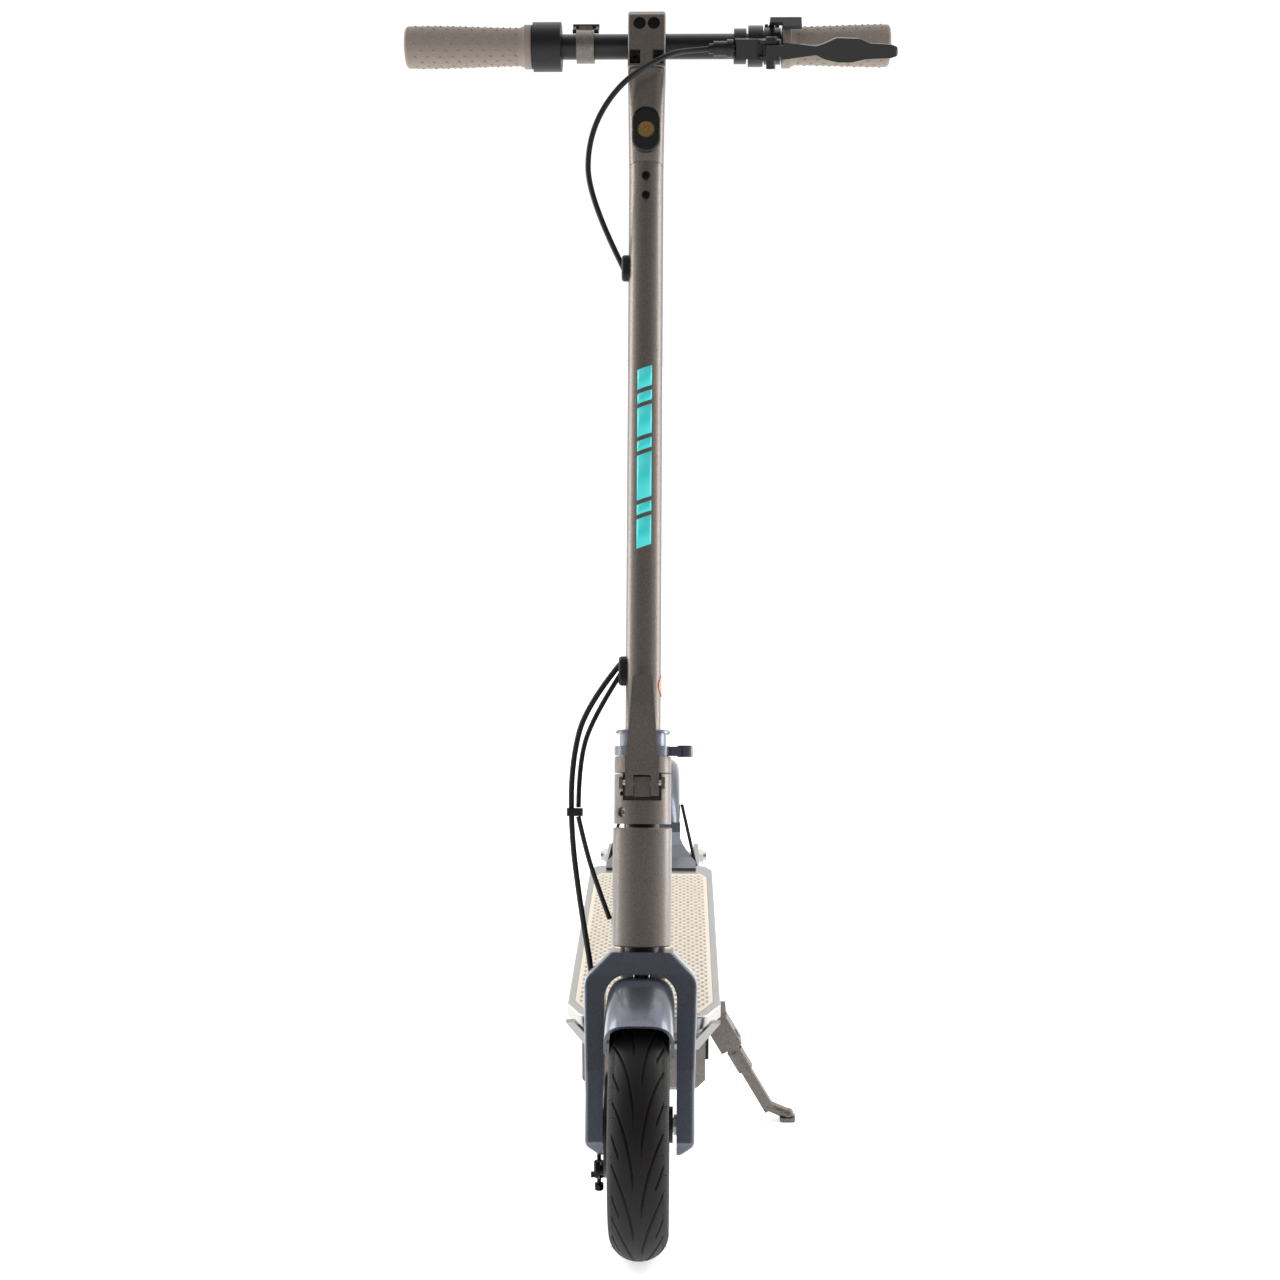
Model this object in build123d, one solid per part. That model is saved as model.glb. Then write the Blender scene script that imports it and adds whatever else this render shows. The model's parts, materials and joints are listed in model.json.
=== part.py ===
from build123d import *
import os
from math import atan2, cos, degrees, pi, radians, sin, tan

# Folding electric kick scooter, standing upright on its wheels, millimetres.
# Row axes: -Y forward, +Z up, +X the rider's left. The origin is on the ground, at the middle of the footprint.

# Overall layout
WHEEL_R = 108.0
TYRE_W = 49.0
WHEELBASE = 760.0
RAKE = 16.0
AXIS_OFFSET = 25.0        # steering axis behind the front axle, at axle height
BAR_LEVEL = 947.0         # handlebar centre along the steering axis
BAR_W = 440.0
REAR_GUARD_R = 124.0

# Fits
FIT = 0.02                # radial gap of pieces fixed together
RUN = 0.05                # radial gap of pieces that turn

# Wheels
RIM_R = 66.0
RIM_W = 38.0
AXLE_R = 6.0
TYRE_WALL = 9.0
DRUM_R = 50.0
DRUM_WALL = 4.0

# Steering column levels along the steering axis, from the point level with the front axle
ARCH_TOP = 117.0
CROWN_TOP = 135.0
HEAD_LOW = 139.0
HEAD_HIGH = 240.0
BASE_LOW = 243.0
BASE_HIGH = 286.0
FOOT_LOW = 287.0
FOOT_HIGH = 301.0
RING_LOW = 302.0
RING_HIGH = 310.0
FLANGE_HIGH = 324.0
STEM_TOP = 833.0
CASTING_TOP = 917.6
POD_LOW = 918.5
POD_HALF = 17.0
POD_HIGH = 973.0

# Column sections
STEERER_R = 14.3
STEERER_WALL = 2.5
HEAD_R = 25.5
BEARING_R = 20.9
BASE_R = 24.8
SPOOL_R = 20.5
FLANGE_R = 24.0
STEM_R = 15.5
STEM_WALL = 2.5
SCREW_LEVELS = (801, 819)

# Drum brake, about the front axle
PLATE_IN = -25.0
PLATE_OUT = -29.0
CAM_Y = -10.0
CAM_Z = -36.0
ARM_END_Y = 22.0
ARM_END_Z = -50.0
STOP_Z = -24.0
CABLE_X = -36.0

# Stem head
LAMP_LEVEL = 860.0
LAMP_H = 41.0
LAMP_W = 25.6
LENS_R = 7.6
CLAMP_SCREW_X = 10.4
CLAMP_SCREW_LEVEL = 928.5
PLUG_X = 6.4
PLUG_LEVEL = 960.0
PLUG_R = 5.6
BUTTON_R = 4.5
BUTTON_Y = -12.0
REFLECTOR_LEVEL = 363.0
REFLECTOR_R = 9.6

# Fork
LEG_INNER = 30.5
LEG_OUTER = 45.5
SHOULDER = 48.0
DROPOUT_LOW = -31.0
FORK_EDGE_R = 4.0
NUT_R = 9.5
NUT_H = 6.5

# Fold
PIN_R = 2.5
LEVER_PIN_FWD = 24.0
LEVER_PIN_LEVEL = 278.0
HINGE_BACK = 31.0
HINGE_LEVEL = 286.5
HINGE_PIN_R = 3.0

# Handlebar
BAR_R = 11.1
BAR_WALL = 2.0
GRIP_R = 18.3
LEFT_GRIP_IN = 104.0
RIGHT_GRIP_IN = 122.5
LEVER_TILT = 30.0         # brake lever below the column's forward direction
PIVOT_X = 111.0
PIVOT_Y = -38.0
THROTTLE_X = -91.5
LATCH_X = -56.0
LATCH_LEVEL = 15.0        # above the bar's centre
LATCH_LEAN = 45.0
STRIKER_LEVEL = 17.0
STRIKER_R = 24.5

# Deck
DECK_FRONT = 130.0        # behind the front axle
DECK_REAR = 585.0
DECK_HALF = 71.0
DECK_TOP = 150.0
DECK_H = 18.0
MAT_HALF = 64.0
MAT_H = 2.5
CORNER_X = 15.0
CORNER_Y = 30.0
TRAY_HALF = 57.0
TRAY_LOW = 68.0
TRAY_FRONT = 150.0
TRAY_REAR = 575.0
TRAY_WALL = 3.0
NECK_HALF = 20.0
MAT_REAR = 552.0
PORT_R = 8.0
PORT_Y = 178.0            # behind the front axle
COVER_TOP = 118.0
EAR_YS = (PORT_Y - 9, PORT_Y + 9)

# Rear
ARM_IN = 51.0
ARM_T = 6.0
GUARD_T = 2.6
FRONT_GUARD_R = 121.0
FRONT_GUARD_HALF = 28.5
FRONT_GUARD_DROP = 24.0
REAR_GUARD_HALF = 34.0
REAR_GUARD_DROP = 22.0

# Kickstand
STAND_X = 80.0
STAND_Y = 238.0           # behind the front axle
STAND_Z = 84.0
STAND_LEAN = 30.0
STAND_SLOT_HALF = 6.0

# Cables, each as points in the column's frame; the upper brake cable's points are from the bar's centre
BRAKE_CABLE_R = 2.5
CONTROL_CABLE_R = 2.2
CLIP_LEVEL = 253.0
UPPER_ROUTE = [(20, -34, -22), (-24, -32, -48), (-52, -20, -92), (-52, -6, -146), (-23.9, 0, -207)]
LOWER_ROUTE = [
    (-23.5, -1, 380), (-50, 0, 346), (-62, 1, 296), (-62, 3, 236), (-54, 6, 176), (-44, 15, 118), (-37, 12, 66),
]
CONTROL_UPPER = [(-23.5, 1, 371), (-44, 4, 336), (-56, 7, 296), (-56, 8, 257)]
CONTROL_LOWER = [(-56, 8, 249), (-50, 13, 222), (-40, 22, 190), (-29, 31, 160)]

LENGTH = WHEEL_R + WHEELBASE + REAR_GUARD_R
FRONT_Y = WHEEL_R - LENGTH / 2
REAR_Y = FRONT_Y + WHEELBASE
RAKE_SIN = sin(radians(RAKE))
RAKE_COS = cos(radians(RAKE))
AXLE_BACK = -AXIS_OFFSET * RAKE_COS
AXLE_LEVEL = -AXIS_OFFSET * RAKE_SIN

COLUMN = Plane(
    origin=(0, FRONT_Y + AXIS_OFFSET, WHEEL_R), x_dir=(1, 0, 0), z_dir=(0, RAKE_SIN, RAKE_COS)
).location
BAR_FRAME = COLUMN * Pos(0, 0, BAR_LEVEL)
BAR = BAR_FRAME * Rot(LEVER_TILT, 0, 0)
FRONT_AXLE = Pos(0, FRONT_Y, WHEEL_R)
REAR_AXLE = Pos(0, REAR_Y, WHEEL_R)
STAND = Pos(STAND_X, FRONT_Y + STAND_Y, STAND_Z) * Rot(0, -STAND_LEAN, 0)
PORT = Pos(TRAY_HALF, PORT_Y, 104) * Rot(0, 90, 0)
SCREEN_SEAT = Pos(0, 19, POD_HIGH - 14.5) * Rot(-44, 0, 0)


def save(name, *shapes):
    shape = shapes[0] if len(shapes) == 1 else Compound(children=list(shapes))
    export_step(shape, f"parts/{name}.step")


def span(outer, inner, low, high):
    """Ring or rod along Z between two levels."""
    body = Pos(0, 0, (low + high) / 2) * Cylinder(outer, high - low)
    if inner:
        body -= Pos(0, 0, (low + high) / 2) * Cylinder(inner, high - low + 2)
    return body


def across(outer, inner, left, right, y=0.0, z=0.0):
    """Ring or rod along X between two stations."""
    return Pos(0, y, z) * Rot(0, 90, 0) * span(outer, inner, left, right)


def block(x, y, z):
    """Box from its low and high values on each axis."""
    size = (x[1] - x[0], y[1] - y[0], z[1] - z[0])
    return Pos(sum(x) / 2, sum(y) / 2, sum(z) / 2) * Box(*size)


def side_plate(points, half):
    """Closed outline of (y, z) points, extruded both ways along X."""
    face = Plane.YZ * make_face(Polyline(*points, close=True))
    return extrude(face, half, both=True)


def front_plate(points, half):
    """Closed outline of (x, z) points, extruded both ways along Y."""
    face = Plane.XZ * make_face(Polyline(*points, close=True))
    return extrude(face, half, both=True)


def rod(start, end, radius):
    """Round rod between two points."""
    way = Vector(*end) - Vector(*start)
    return Plane(origin=start, z_dir=way).location * span(radius, 0, 0, way.length)


def cable(points, radius):
    """Round cable whose arcs are as large as its runs allow."""
    points = [Vector(*p) for p in points]
    runs = [(b - a).length for a, b in zip(points, points[1:])]
    radii = []
    for i in range(1, len(points) - 1):
        turn = (points[i] - points[i - 1]).get_angle(points[i + 1] - points[i])
        radii.append(0.45 * min(runs[i - 1], runs[i]) / tan(radians(turn) / 2))
    path = FilletPolyline(*points, radius=radii)
    start = Plane(origin=path @ 0, z_dir=path % 0)
    tube = sweep(start * Circle(radius), path=path)
    share = tube.volume / (pi * radius**2 * path.length)
    print("cable radii", [round(r) for r in radii], "volume over section times length", round(share, 5))
    return tube


# ---- wheels ----

def tyre():
    shoulder = TYRE_W / 2
    with BuildSketch(Plane.XZ) as section:
        with BuildLine():
            Polyline((-19, RIM_R + 8), (-19, RIM_R), (-15, RIM_R), (-15, RIM_R + 8))
            Polyline((15, RIM_R + 8), (15, RIM_R), (19, RIM_R), (19, RIM_R + 8))
            ThreePointArc((-15, RIM_R + 8), (0, WHEEL_R - TYRE_WALL), (15, RIM_R + 8))
            Spline(
                (-19, RIM_R + 8), (-shoulder, RIM_R + 22), (0, WHEEL_R), (shoulder, RIM_R + 22), (19, RIM_R + 8),
                tangents=[(-0.4, 1), (0.4, -1)],
            )
        make_face()
    return revolve(section.sketch, Axis.X)


def front_hub():
    rim = across(RIM_R - FIT, RIM_R - 6, -RIM_W / 2, RIM_W / 2)
    lips = across(RIM_R + 6, RIM_R - 6, RIM_W / 2 + 0.1, RIM_W / 2 + 2.5)
    lips += across(RIM_R + 6, RIM_R - 6, -RIM_W / 2 - 2.5, -RIM_W / 2 - 0.1)
    rim += across(RIM_R - FIT, RIM_R - 6, -RIM_W / 2 - 1, RIM_W / 2 + 1) + lips
    web = across(RIM_R - 5, 12, 8, 14)
    for i in range(10):
        web -= Rot(i * 36, 0, 0) * across(4.5, 0, 6, 16, 0, 56)
    drum = across(DRUM_R, DRUM_R - DRUM_WALL, -24.5, 9)
    barrel = across(12, AXLE_R + RUN, -14, 24.5) + across(14.8, AXLE_R + RUN, 24.4, 27.5)
    return rim + web + drum + barrel


def motor_shell():
    shell = across(RIM_R - FIT, RIM_R - 5, -RIM_W / 2 - 2, RIM_W / 2 + 2)
    for side in (-1, 1):
        low, high = sorted((side * (RIM_W / 2 + 0.1), side * (RIM_W / 2 + 2.5)))
        shell += across(RIM_R + 6, RIM_R - 6, low, high)
        low, high = sorted((side * (RIM_W / 2 + 2.2), side * (RIM_W / 2 + 6)))
        shell += across(RIM_R - 2, AXLE_R + RUN, low, high)
        low, high = sorted((side * (RIM_W / 2 + 5), side * (RIM_W / 2 + 16)))
        shell += across(18, AXLE_R + RUN, low, high)
        for i in range(6):
            shell -= Rot(i * 60, 0, 0) * across(2.5, 0, *sorted((side * 24, side * 26)), 0, 54)
    return shell


def motor_axle():
    end = ARM_IN + ARM_T + NUT_H + 4
    stator = across(AXLE_R, 0, -end, end) + across(52, 0, -16, 16)
    for i in range(18):
        stator -= Rot(i * 20, 0, 0) * block((-17, 17), (-2, 2), (40, 60))
    nuts = []
    for side in (-1, 1):
        face = Pos(side * (ARM_IN + ARM_T + NUT_H / 2), 0, 0) * Rot(0, 90, 0)
        nuts.append(face * (extrude(RegularPolygon(NUT_R, 6), NUT_H / 2, both=True) - Cylinder(AXLE_R + FIT, 20)))
    return [stator, *nuts]


# ---- fork and steering pieces, in the column's frame ----

def fork():
    half = [
        (27, CROWN_TOP), (SHOULDER, ARCH_TOP - 3), (LEG_OUTER, 20), (LEG_OUTER, DROPOUT_LOW + 9),
        (LEG_INNER + 3, DROPOUT_LOW),
    ]
    outline = half + [(-x, z) for x, z in reversed(half)]
    front = front_plate(outline, 60)
    notch = Pos(0, 0, (ARCH_TOP + DROPOUT_LOW - 40) / 2) * Box(
        2 * LEG_INNER, 200, ARCH_TOP - DROPOUT_LOW + 40
    )
    notch = fillet(notch.edges().filter_by(Axis.Y).group_by(Axis.Z)[-1], 20)
    side = side_plate(
        [
            (-25, CROWN_TOP), (-31, ARCH_TOP), (AXLE_BACK - 16, 40), (AXLE_BACK - 16, DROPOUT_LOW + 10),
            (AXLE_BACK - 8, DROPOUT_LOW), (AXLE_BACK + 8, DROPOUT_LOW), (AXLE_BACK + 16, DROPOUT_LOW + 10),
            (AXLE_BACK + 16, 50), (6, ARCH_TOP - 8), (24, CROWN_TOP - 4), (24, CROWN_TOP),
        ],
        80,
    )
    front -= notch
    for x, z, radius in ((SHOULDER, ARCH_TOP - 3, 16), (LEG_OUTER, DROPOUT_LOW + 9, 8)):
        corners = front.edges().filter_by(Axis.Y)
        front = fillet(corners.filter_by(lambda e: abs(abs(e.center().X) - x) + abs(e.center().Z - z) < 1), radius)
    side_corners = side.edges().filter_by(Axis.X).filter_by(lambda e: e.center().Z < CROWN_TOP - 6)
    body = front & fillet(side_corners, 7)
    rims = body.edges().filter_by(lambda e: abs(e.center().X) > LEG_INNER + 2 and e.length > 2)
    body = fillet(rims, FORK_EDGE_R)
    body -= span(STEERER_R + FIT, 0, ARCH_TOP - 5, CROWN_TOP + 5)
    body -= across(AXLE_R + FIT, 0, -60, 60, AXLE_BACK, AXLE_LEVEL)
    for side_x in (-1, 1):
        pocket = sorted((side_x * (LEG_OUTER - NUT_H - 1), side_x * 60))
        body -= across(NUT_R + 2.5, 0, *pocket, AXLE_BACK, AXLE_LEVEL)
    return body


def guard_section(radius, half, thick, drop):
    """U section of a mudguard in the X-Z plane, with its crown at the given radius."""
    edge = radius - drop

    def outline(r, h, low):
        top = Spline((h, edge), (0, r), (-h, edge), tangents=[(0, 1), (0, -1)])
        return make_face(Polyline((-h, edge), (-h, low), (h, low), (h, edge)) + top)

    low = edge - 10
    return Plane.XZ * (outline(radius, half, low) - outline(radius - thick, half - thick, low - 1))


def guard(radius, half, drop, front, rear):
    """Mudguard about its axle, from an angle ahead of the top to one behind it."""
    face = Rot(-rear, 0, 0) * guard_section(radius, half, GUARD_T, drop)
    return revolve(face, Axis.X, front + rear)


def front_mudguard():
    shell = FRONT_AXLE * guard(FRONT_GUARD_R, FRONT_GUARD_HALF, FRONT_GUARD_DROP, 26, 75)
    seat = COLUMN * span(7, 0, ARCH_TOP - 7.5, ARCH_TOP)
    return shell + seat


def front_axle():
    end = LEG_OUTER - 1
    axle = across(AXLE_R, 0, -end, end)
    nuts = []
    for side in (-1, 1):
        face = Pos(side * (LEG_OUTER - 1 - NUT_H / 2), 0, 0) * Rot(0, 90, 0)
        nuts.append(face * (extrude(RegularPolygon(NUT_R, 6), NUT_H / 2, both=True) - Cylinder(AXLE_R + FIT, 20)))
    spacer = across(AXLE_R + 2.5, AXLE_R + FIT, 28, LEG_INNER)
    return [axle, *nuts, spacer]


def drum_brake():
    """Back plate with cable stop, and two shoes, about the front axle."""
    plate = across(43, AXLE_R + FIT, PLATE_OUT, PLATE_IN)
    plate += across(13, AXLE_R + FIT, -LEG_INNER + 0.02, PLATE_OUT + 1)
    plate += block((CABLE_X - 5, PLATE_OUT + 1), (ARM_END_Y - 5, ARM_END_Y + 5), (STOP_Z - 2, STOP_Z + 6))
    plate -= Pos(CABLE_X, ARM_END_Y, 0) * span(1.3, 0, STOP_Z - 10, STOP_Z + 10)
    plate -= across(4 + RUN, 0, -40, -20, CAM_Y, CAM_Z)
    shoes = across(DRUM_R - DRUM_WALL - 0.8, 37, PLATE_IN, 2)
    shoes -= block((-30, 10), (-4, 4), (-60, 60))
    shoes -= block((-30, 10), (CAM_Y - 6, CAM_Y + 6), (-60, 0))
    return [plate, *shoes.solids()]


def brake_arm():
    shaft = across(4, 0, -36.5, -22, CAM_Y, CAM_Z)
    way = degrees(atan2(ARM_END_Z - CAM_Z, ARM_END_Y - CAM_Y))
    reach = ((ARM_END_Y - CAM_Y) ** 2 + (ARM_END_Z - CAM_Z) ** 2) ** 0.5
    bar = Pos(-34.8, CAM_Y, CAM_Z) * Rot(way, 0, 0) * block((-1.7, 1.7), (0, reach), (-4.5, 4.5))
    hub = across(7, 0, -36.5, -33.1, CAM_Y, CAM_Z)
    tip = Pos(-35.5, ARM_END_Y, 0)
    barrel = tip * span(4.5, 0, ARM_END_Z - 5, ARM_END_Z + 5)
    screw = tip * span(1.8, 0, ARM_END_Z - 18, ARM_END_Z + 14)
    wing = tip * (block((-7, 7), (-1.2, 1.2), (ARM_END_Z - 9, ARM_END_Z - 4.5)) + span(
        3.2, 0, ARM_END_Z - 9, ARM_END_Z - 4.5
    ))
    nut = tip * span(3.8, 0, ARM_END_Z - 20, ARM_END_Z - 15)
    return shaft + bar + hub + barrel + screw + wing + nut


def fold_base():
    body = span(BASE_R, 0, BASE_LOW, BASE_HIGH)
    body += block((-17, 17), (10, HINGE_BACK + 5), (BASE_HIGH - 20, BASE_HIGH))
    body += across(6.5, 0, -17, 17, HINGE_BACK, HINGE_LEVEL)
    body -= block((-11.5, 11.5), (HINGE_BACK - 8, 60), (BASE_HIGH - 9, BASE_HIGH + 20))
    body -= block((-30, 30), (-30, HINGE_BACK - 6.5), (BASE_HIGH, BASE_HIGH + 20))
    body -= across(HINGE_PIN_R + FIT, 0, -30, 30, HINGE_BACK, HINGE_LEVEL)
    recess = block((-16.6, 16.6), (-40, -9.5), (263, BASE_HIGH + 5))
    lug = block((-6.8, 6.8), (-27, -9), (266, BASE_HIGH - 3))
    body = body - recess + lug
    body -= across(PIN_R + FIT, 0, -30, 30, -LEVER_PIN_FWD, LEVER_PIN_LEVEL)
    pin_hole = across(PIN_R + FIT, 0, -30, 30, -LEVER_PIN_FWD, LEVER_PIN_LEVEL)
    for ear_x in ((-19.5, -16.6), (16.6, 19.5)):
        ear = block(ear_x, (-LEVER_PIN_FWD - 4, -14), (LEVER_PIN_LEVEL - 5, LEVER_PIN_LEVEL + 5))
        body += ear - pin_hole
    body -= span(STEERER_R + FIT, 0, BASE_LOW - 5, 262)
    for level, radius in ((269, 2.1), (253, 4.4)):
        body -= Pos(0, 0, level) * Rot(90, 0, 0) * Rot(0, -46, 0) * span(radius, 0, 17.5, 40)
    return body


def base_fasteners():
    """Lever pin, stem hinge pin and pinch screw of the fold base."""
    lever_pin = across(PIN_R, 0, -19, 19, -LEVER_PIN_FWD, LEVER_PIN_LEVEL)
    hinge_pin = across(HINGE_PIN_R, 0, -18, 18, HINGE_BACK, HINGE_LEVEL)
    screw = Pos(0, 0, 253) * Rot(90, 0, 0) * Rot(0, -46, 0) * (span(4.2, 0, 17.5, 22) - span(2, 0, 20, 23))
    return [lever_pin, hinge_pin, screw]


def fold_lever():
    top_half, low_half = 8.6, 14.3
    outline = [
        (-top_half + 1.5, 370), (top_half - 1.5, 370), (top_half, 368), (low_half - 2.4, 322), (low_half, 290),
        (low_half, 267), (-low_half, 267), (-low_half, 290), (-low_half + 2.4, 322), (-top_half, 368),
    ]
    blade = front_plate(outline, 60)
    side = side_plate(
        [
            (-25.8, 371), (-29.5, 371), (-33.5, 345), (-32.5, 300), (-32, 268), (-29.5, 266), (-25.8, 268),
            (-20.5, 272), (-20.5, 286.6), (-20.5, 299.5), (-25.8, 300.5),
        ],
        40,
    )
    body = blade & side
    body = chamfer(body.edges().group_by(Axis.Y)[0], 1.2)
    body -= block((-7.3, 7.3), (-40, 0), (260, 284.5))
    body -= across(PIN_R + RUN, 0, -30, 30, -LEVER_PIN_FWD, LEVER_PIN_LEVEL)
    return body


def safety_ring():
    body = span(25.1, SPOOL_R + 0.35, RING_LOW, RING_HIGH)
    body += block((22, 36), (-6, 6), (RING_LOW, RING_HIGH))
    body += Pos(37, 0, 0) * span(7, 0, RING_LOW - 1, RING_HIGH + 1)
    body -= Pos(37, 0, 0) * span(2.2, 0, RING_LOW - 3, RING_HIGH + 3)
    return body


def stem_foot():
    body = span(BASE_R, STEM_R + FIT, FOOT_LOW, FOOT_HIGH)
    body += across(6.5, 0, -11.2, 11.2, HINGE_BACK, HINGE_LEVEL)
    body += block((-11.2, 11.2), (18, HINGE_BACK + 3), (HINGE_LEVEL + 1, FOOT_HIGH - 2))
    body -= block((-30, 30), (-30, HINGE_BACK - 7), (FOOT_LOW - 15, FOOT_LOW))
    body -= span(STEM_R + FIT, 0, FOOT_LOW - 2, FOOT_HIGH + 2)
    body -= across(HINGE_PIN_R + RUN, 0, -30, 30, HINGE_BACK, HINGE_LEVEL)
    body -= block((-14.9, 14.9), (-40, -20), (FOOT_LOW - 5, FOOT_HIGH + 5))
    return body


def spool():
    body = span(SPOOL_R, STEM_R + FIT, FOOT_HIGH, FLANGE_HIGH)
    flange = span(FLANGE_R, STEM_R + FIT, FLANGE_HIGH - 3, FLANGE_HIGH)
    return chamfer((body + flange).edges().group_by(Axis.Z)[-1], 0.8)


def stem_tube():
    body = span(STEM_R, STEM_R - STEM_WALL, FOOT_LOW + 3, STEM_TOP - 0.05)
    for level in SCREW_LEVELS:
        body -= Pos(0, 0, level) * Rot(90, 0, 0) * span(1.5 + FIT, 0, 4, 20)
    return body


def pad_on_stem(shape):
    """What is left of a pad outside the stem tube."""
    return shape - span(STEM_R + FIT, 0, 200, 900)


def grommet(level, height):
    body = Pos(-17.6, 0, level) * Rot(0, 90, 0) * extrude(SlotOverall(height, 13), 4, both=True)
    return pad_on_stem(fillet(body.edges().group_by(Axis.X)[0], 2.8))


def side_reflector():
    """Thin round reflector wrapped on the left of the stem, turned a little to the rear."""
    skin = span(STEM_R + 0.9, STEM_R + FIT, REFLECTOR_LEVEL - 12, REFLECTOR_LEVEL + 12)
    return skin & (Rot(0, 0, 6) * across(REFLECTOR_R, 0, 5, 25, 0, REFLECTOR_LEVEL))


def stem_head():
    sections = [
        Pos(0, 0, STEM_TOP) * RectangleRounded(31.2, 31.6, 15.2),
        Pos(0, -1.5, STEM_TOP + 20) * RectangleRounded(31.6, 38, 13.5),
        Pos(0, -1, CASTING_TOP) * RectangleRounded(33.8, 40, 9),
    ]
    body = loft(sections)
    body += span(STEM_R - STEM_WALL - FIT, 0, STEM_TOP - 42, STEM_TOP + 2)
    lamp = Pos(0, -12, LAMP_LEVEL) * Rot(90, 0, 0) * extrude(Rot(0, 0, 90) * SlotOverall(LAMP_H, LAMP_W), 20)
    body -= lamp
    for level in SCREW_LEVELS:
        body -= Pos(0, 0, level) * Rot(90, 0, 0) * span(1.5 + FIT, 0, 4, 20)
    return body


def lamp_bezel():
    slot = Rot(0, 0, 90) * SlotOverall(LAMP_H - 2 * FIT, LAMP_W - 2 * FIT)
    body = Pos(0, -12 - FIT, LAMP_LEVEL) * Rot(90, 0, 0) * extrude(slot, 10)
    body = chamfer(body.edges().group_by(Axis.Y)[0], 1.2)
    body -= Pos(0, -17, LAMP_LEVEL) * Rot(90, 0, 0) * span(LENS_R + FIT, 0, 0, 10)
    return body


def lamp_lens():
    lens = Pos(0, -17 - FIT, LAMP_LEVEL) * Rot(90, 0, 0) * span(LENS_R, 0, 0, 4)
    dome = Pos(0, -21, LAMP_LEVEL) * Rot(90, 0, 0) * span(2.6, 0, -1, 1)
    return lens + dome


def display_pod():
    body = side_plate(
        [
            (-20, POD_LOW), (-20, POD_HIGH - 5), (-16, POD_HIGH), (4, POD_HIGH), (34, POD_HIGH - 29),
            (34, POD_HIGH - 42), (20, POD_LOW),
        ],
        POD_HALF,
    )
    body = fillet(body.edges().filter_by(Axis.X), 2.5)
    body = fillet(body.faces().group_by(Axis.X)[0].edges() + body.faces().group_by(Axis.X)[-1].edges(), 2.2)
    body -= across(BAR_R + FIT, 0, -30, 30, 0, BAR_LEVEL)
    for x in (-CLAMP_SCREW_X, CLAMP_SCREW_X):
        body -= Pos(x, -17, CLAMP_SCREW_LEVEL) * Box(9.6, 8, 13)
        body -= Pos(x, 0, CLAMP_SCREW_LEVEL) * Rot(90, 0, 0) * span(2.5, 0, 5, 15)
    for x in (-PLUG_X, PLUG_X):
        body -= Pos(x, 0, PLUG_LEVEL) * Rot(90, 0, 0) * span(PLUG_R + FIT, 0, 14, 30)
    body -= SCREEN_SEAT * Box(24.4, 36.4, 4)
    body -= SCREEN_SEAT * Pos(0, BUTTON_Y, 0) * span(BUTTON_R + 0.5, 0, -7, 6)
    return body


def display_screen():
    glass = Box(24, 36, 1.9) - Pos(0, BUTTON_Y, 0) * Cylinder(BUTTON_R + 0.5, 5)
    return SCREEN_SEAT * Pos(0, 0, -1.02) * glass


def stem_screws():
    """Stem screws, clamp screws and clamp plugs."""
    pieces = []
    for level in SCREW_LEVELS:
        turn = Pos(0, 0, level) * Rot(90, 0, 0)
        head = span(3.6, 0, STEM_R + 0.05, STEM_R + 2.2) + span(1.5, 0, 6, STEM_R + 1)
        pieces.append(turn * (head - span(1.4, 0, STEM_R + 0.9, STEM_R + 4)))
    for x in (-CLAMP_SCREW_X, CLAMP_SCREW_X):
        turn = Pos(x, 0, CLAMP_SCREW_LEVEL) * Rot(90, 0, 0)
        pieces.append(turn * (span(4.4, 0, 13.05, 17.5) + span(2.4, 0, 6, 14) - span(2.1, 0, 14.8, 18)))
    for x in (-PLUG_X, PLUG_X):
        pieces.append(Pos(x, 0, PLUG_LEVEL) * Rot(90, 0, 0) * span(PLUG_R, 0, 14.05, 19.2))
    return pieces


# ---- handlebar fittings, in the column's frame with the bar centre as origin ----

def grip(inner, outer):
    low, high = sorted((inner, outer))
    body = across(GRIP_R, BAR_R + FIT, low, high)
    flare = across(GRIP_R + 1, BAR_R + FIT, *sorted((inner, inner + (8 if outer > inner else -8))))
    return body + flare


def throttle_housing():
    body = across(21.6, BAR_R + FIT, THROTTLE_X - 12, THROTTLE_X + 13.5)
    body -= across(20, 14, THROTTLE_X - 5.7, THROTTLE_X + 5.7)
    return body - block((THROTTLE_X - 5.7, THROTTLE_X + 5.7), (7, 33), (-17, 9))


def throttle_lever():
    """Turning ring with a thumb paddle on the rider's side."""
    ring = across(19.4, 14.4, THROTTLE_X - 5.2, THROTTLE_X + 5.2)
    arm = block((THROTTLE_X - 4.8, THROTTLE_X + 4.8), (17, 38), (-3, 3))
    paddle = Box(20, 4.5, 17)
    paddle = fillet(paddle.edges().filter_by(Axis.Y), 3)
    return ring + Rot(8, 0, 0) * (arm + Pos(THROTTLE_X, 37, 0.5) * Rot(-12, 0, 0) * paddle)


def latch_band():
    body = across(14.5, BAR_R + FIT, LATCH_X - 8, LATCH_X + 8)
    body += block((LATCH_X - 6, LATCH_X + 6), (-4.5, 4.5), (BAR_R + 1, LATCH_LEVEL + 3))
    return body - across(1.5 + RUN, 0, LATCH_X - 20, LATCH_X + 20, 0, LATCH_LEVEL)


def latch_loop():
    """Loop hinged on the band's lug, leaning back over the bar."""
    pin = across(1.5, 0, LATCH_X - 10, LATCH_X + 10)
    loop = across(2.6, 0, LATCH_X - 12, LATCH_X + 12, 11, 0)
    for x in (LATCH_X - 10.1, LATCH_X + 10.1):
        loop += rod((x, 0, 0), (x, 11, 0), 1.6) + across(2.1, 0, x - 1.8, x + 1.8)
    return Pos(0, 0, LATCH_LEVEL) * (pin + Rot(LATCH_LEAN, 0, 0) * loop)


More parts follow.
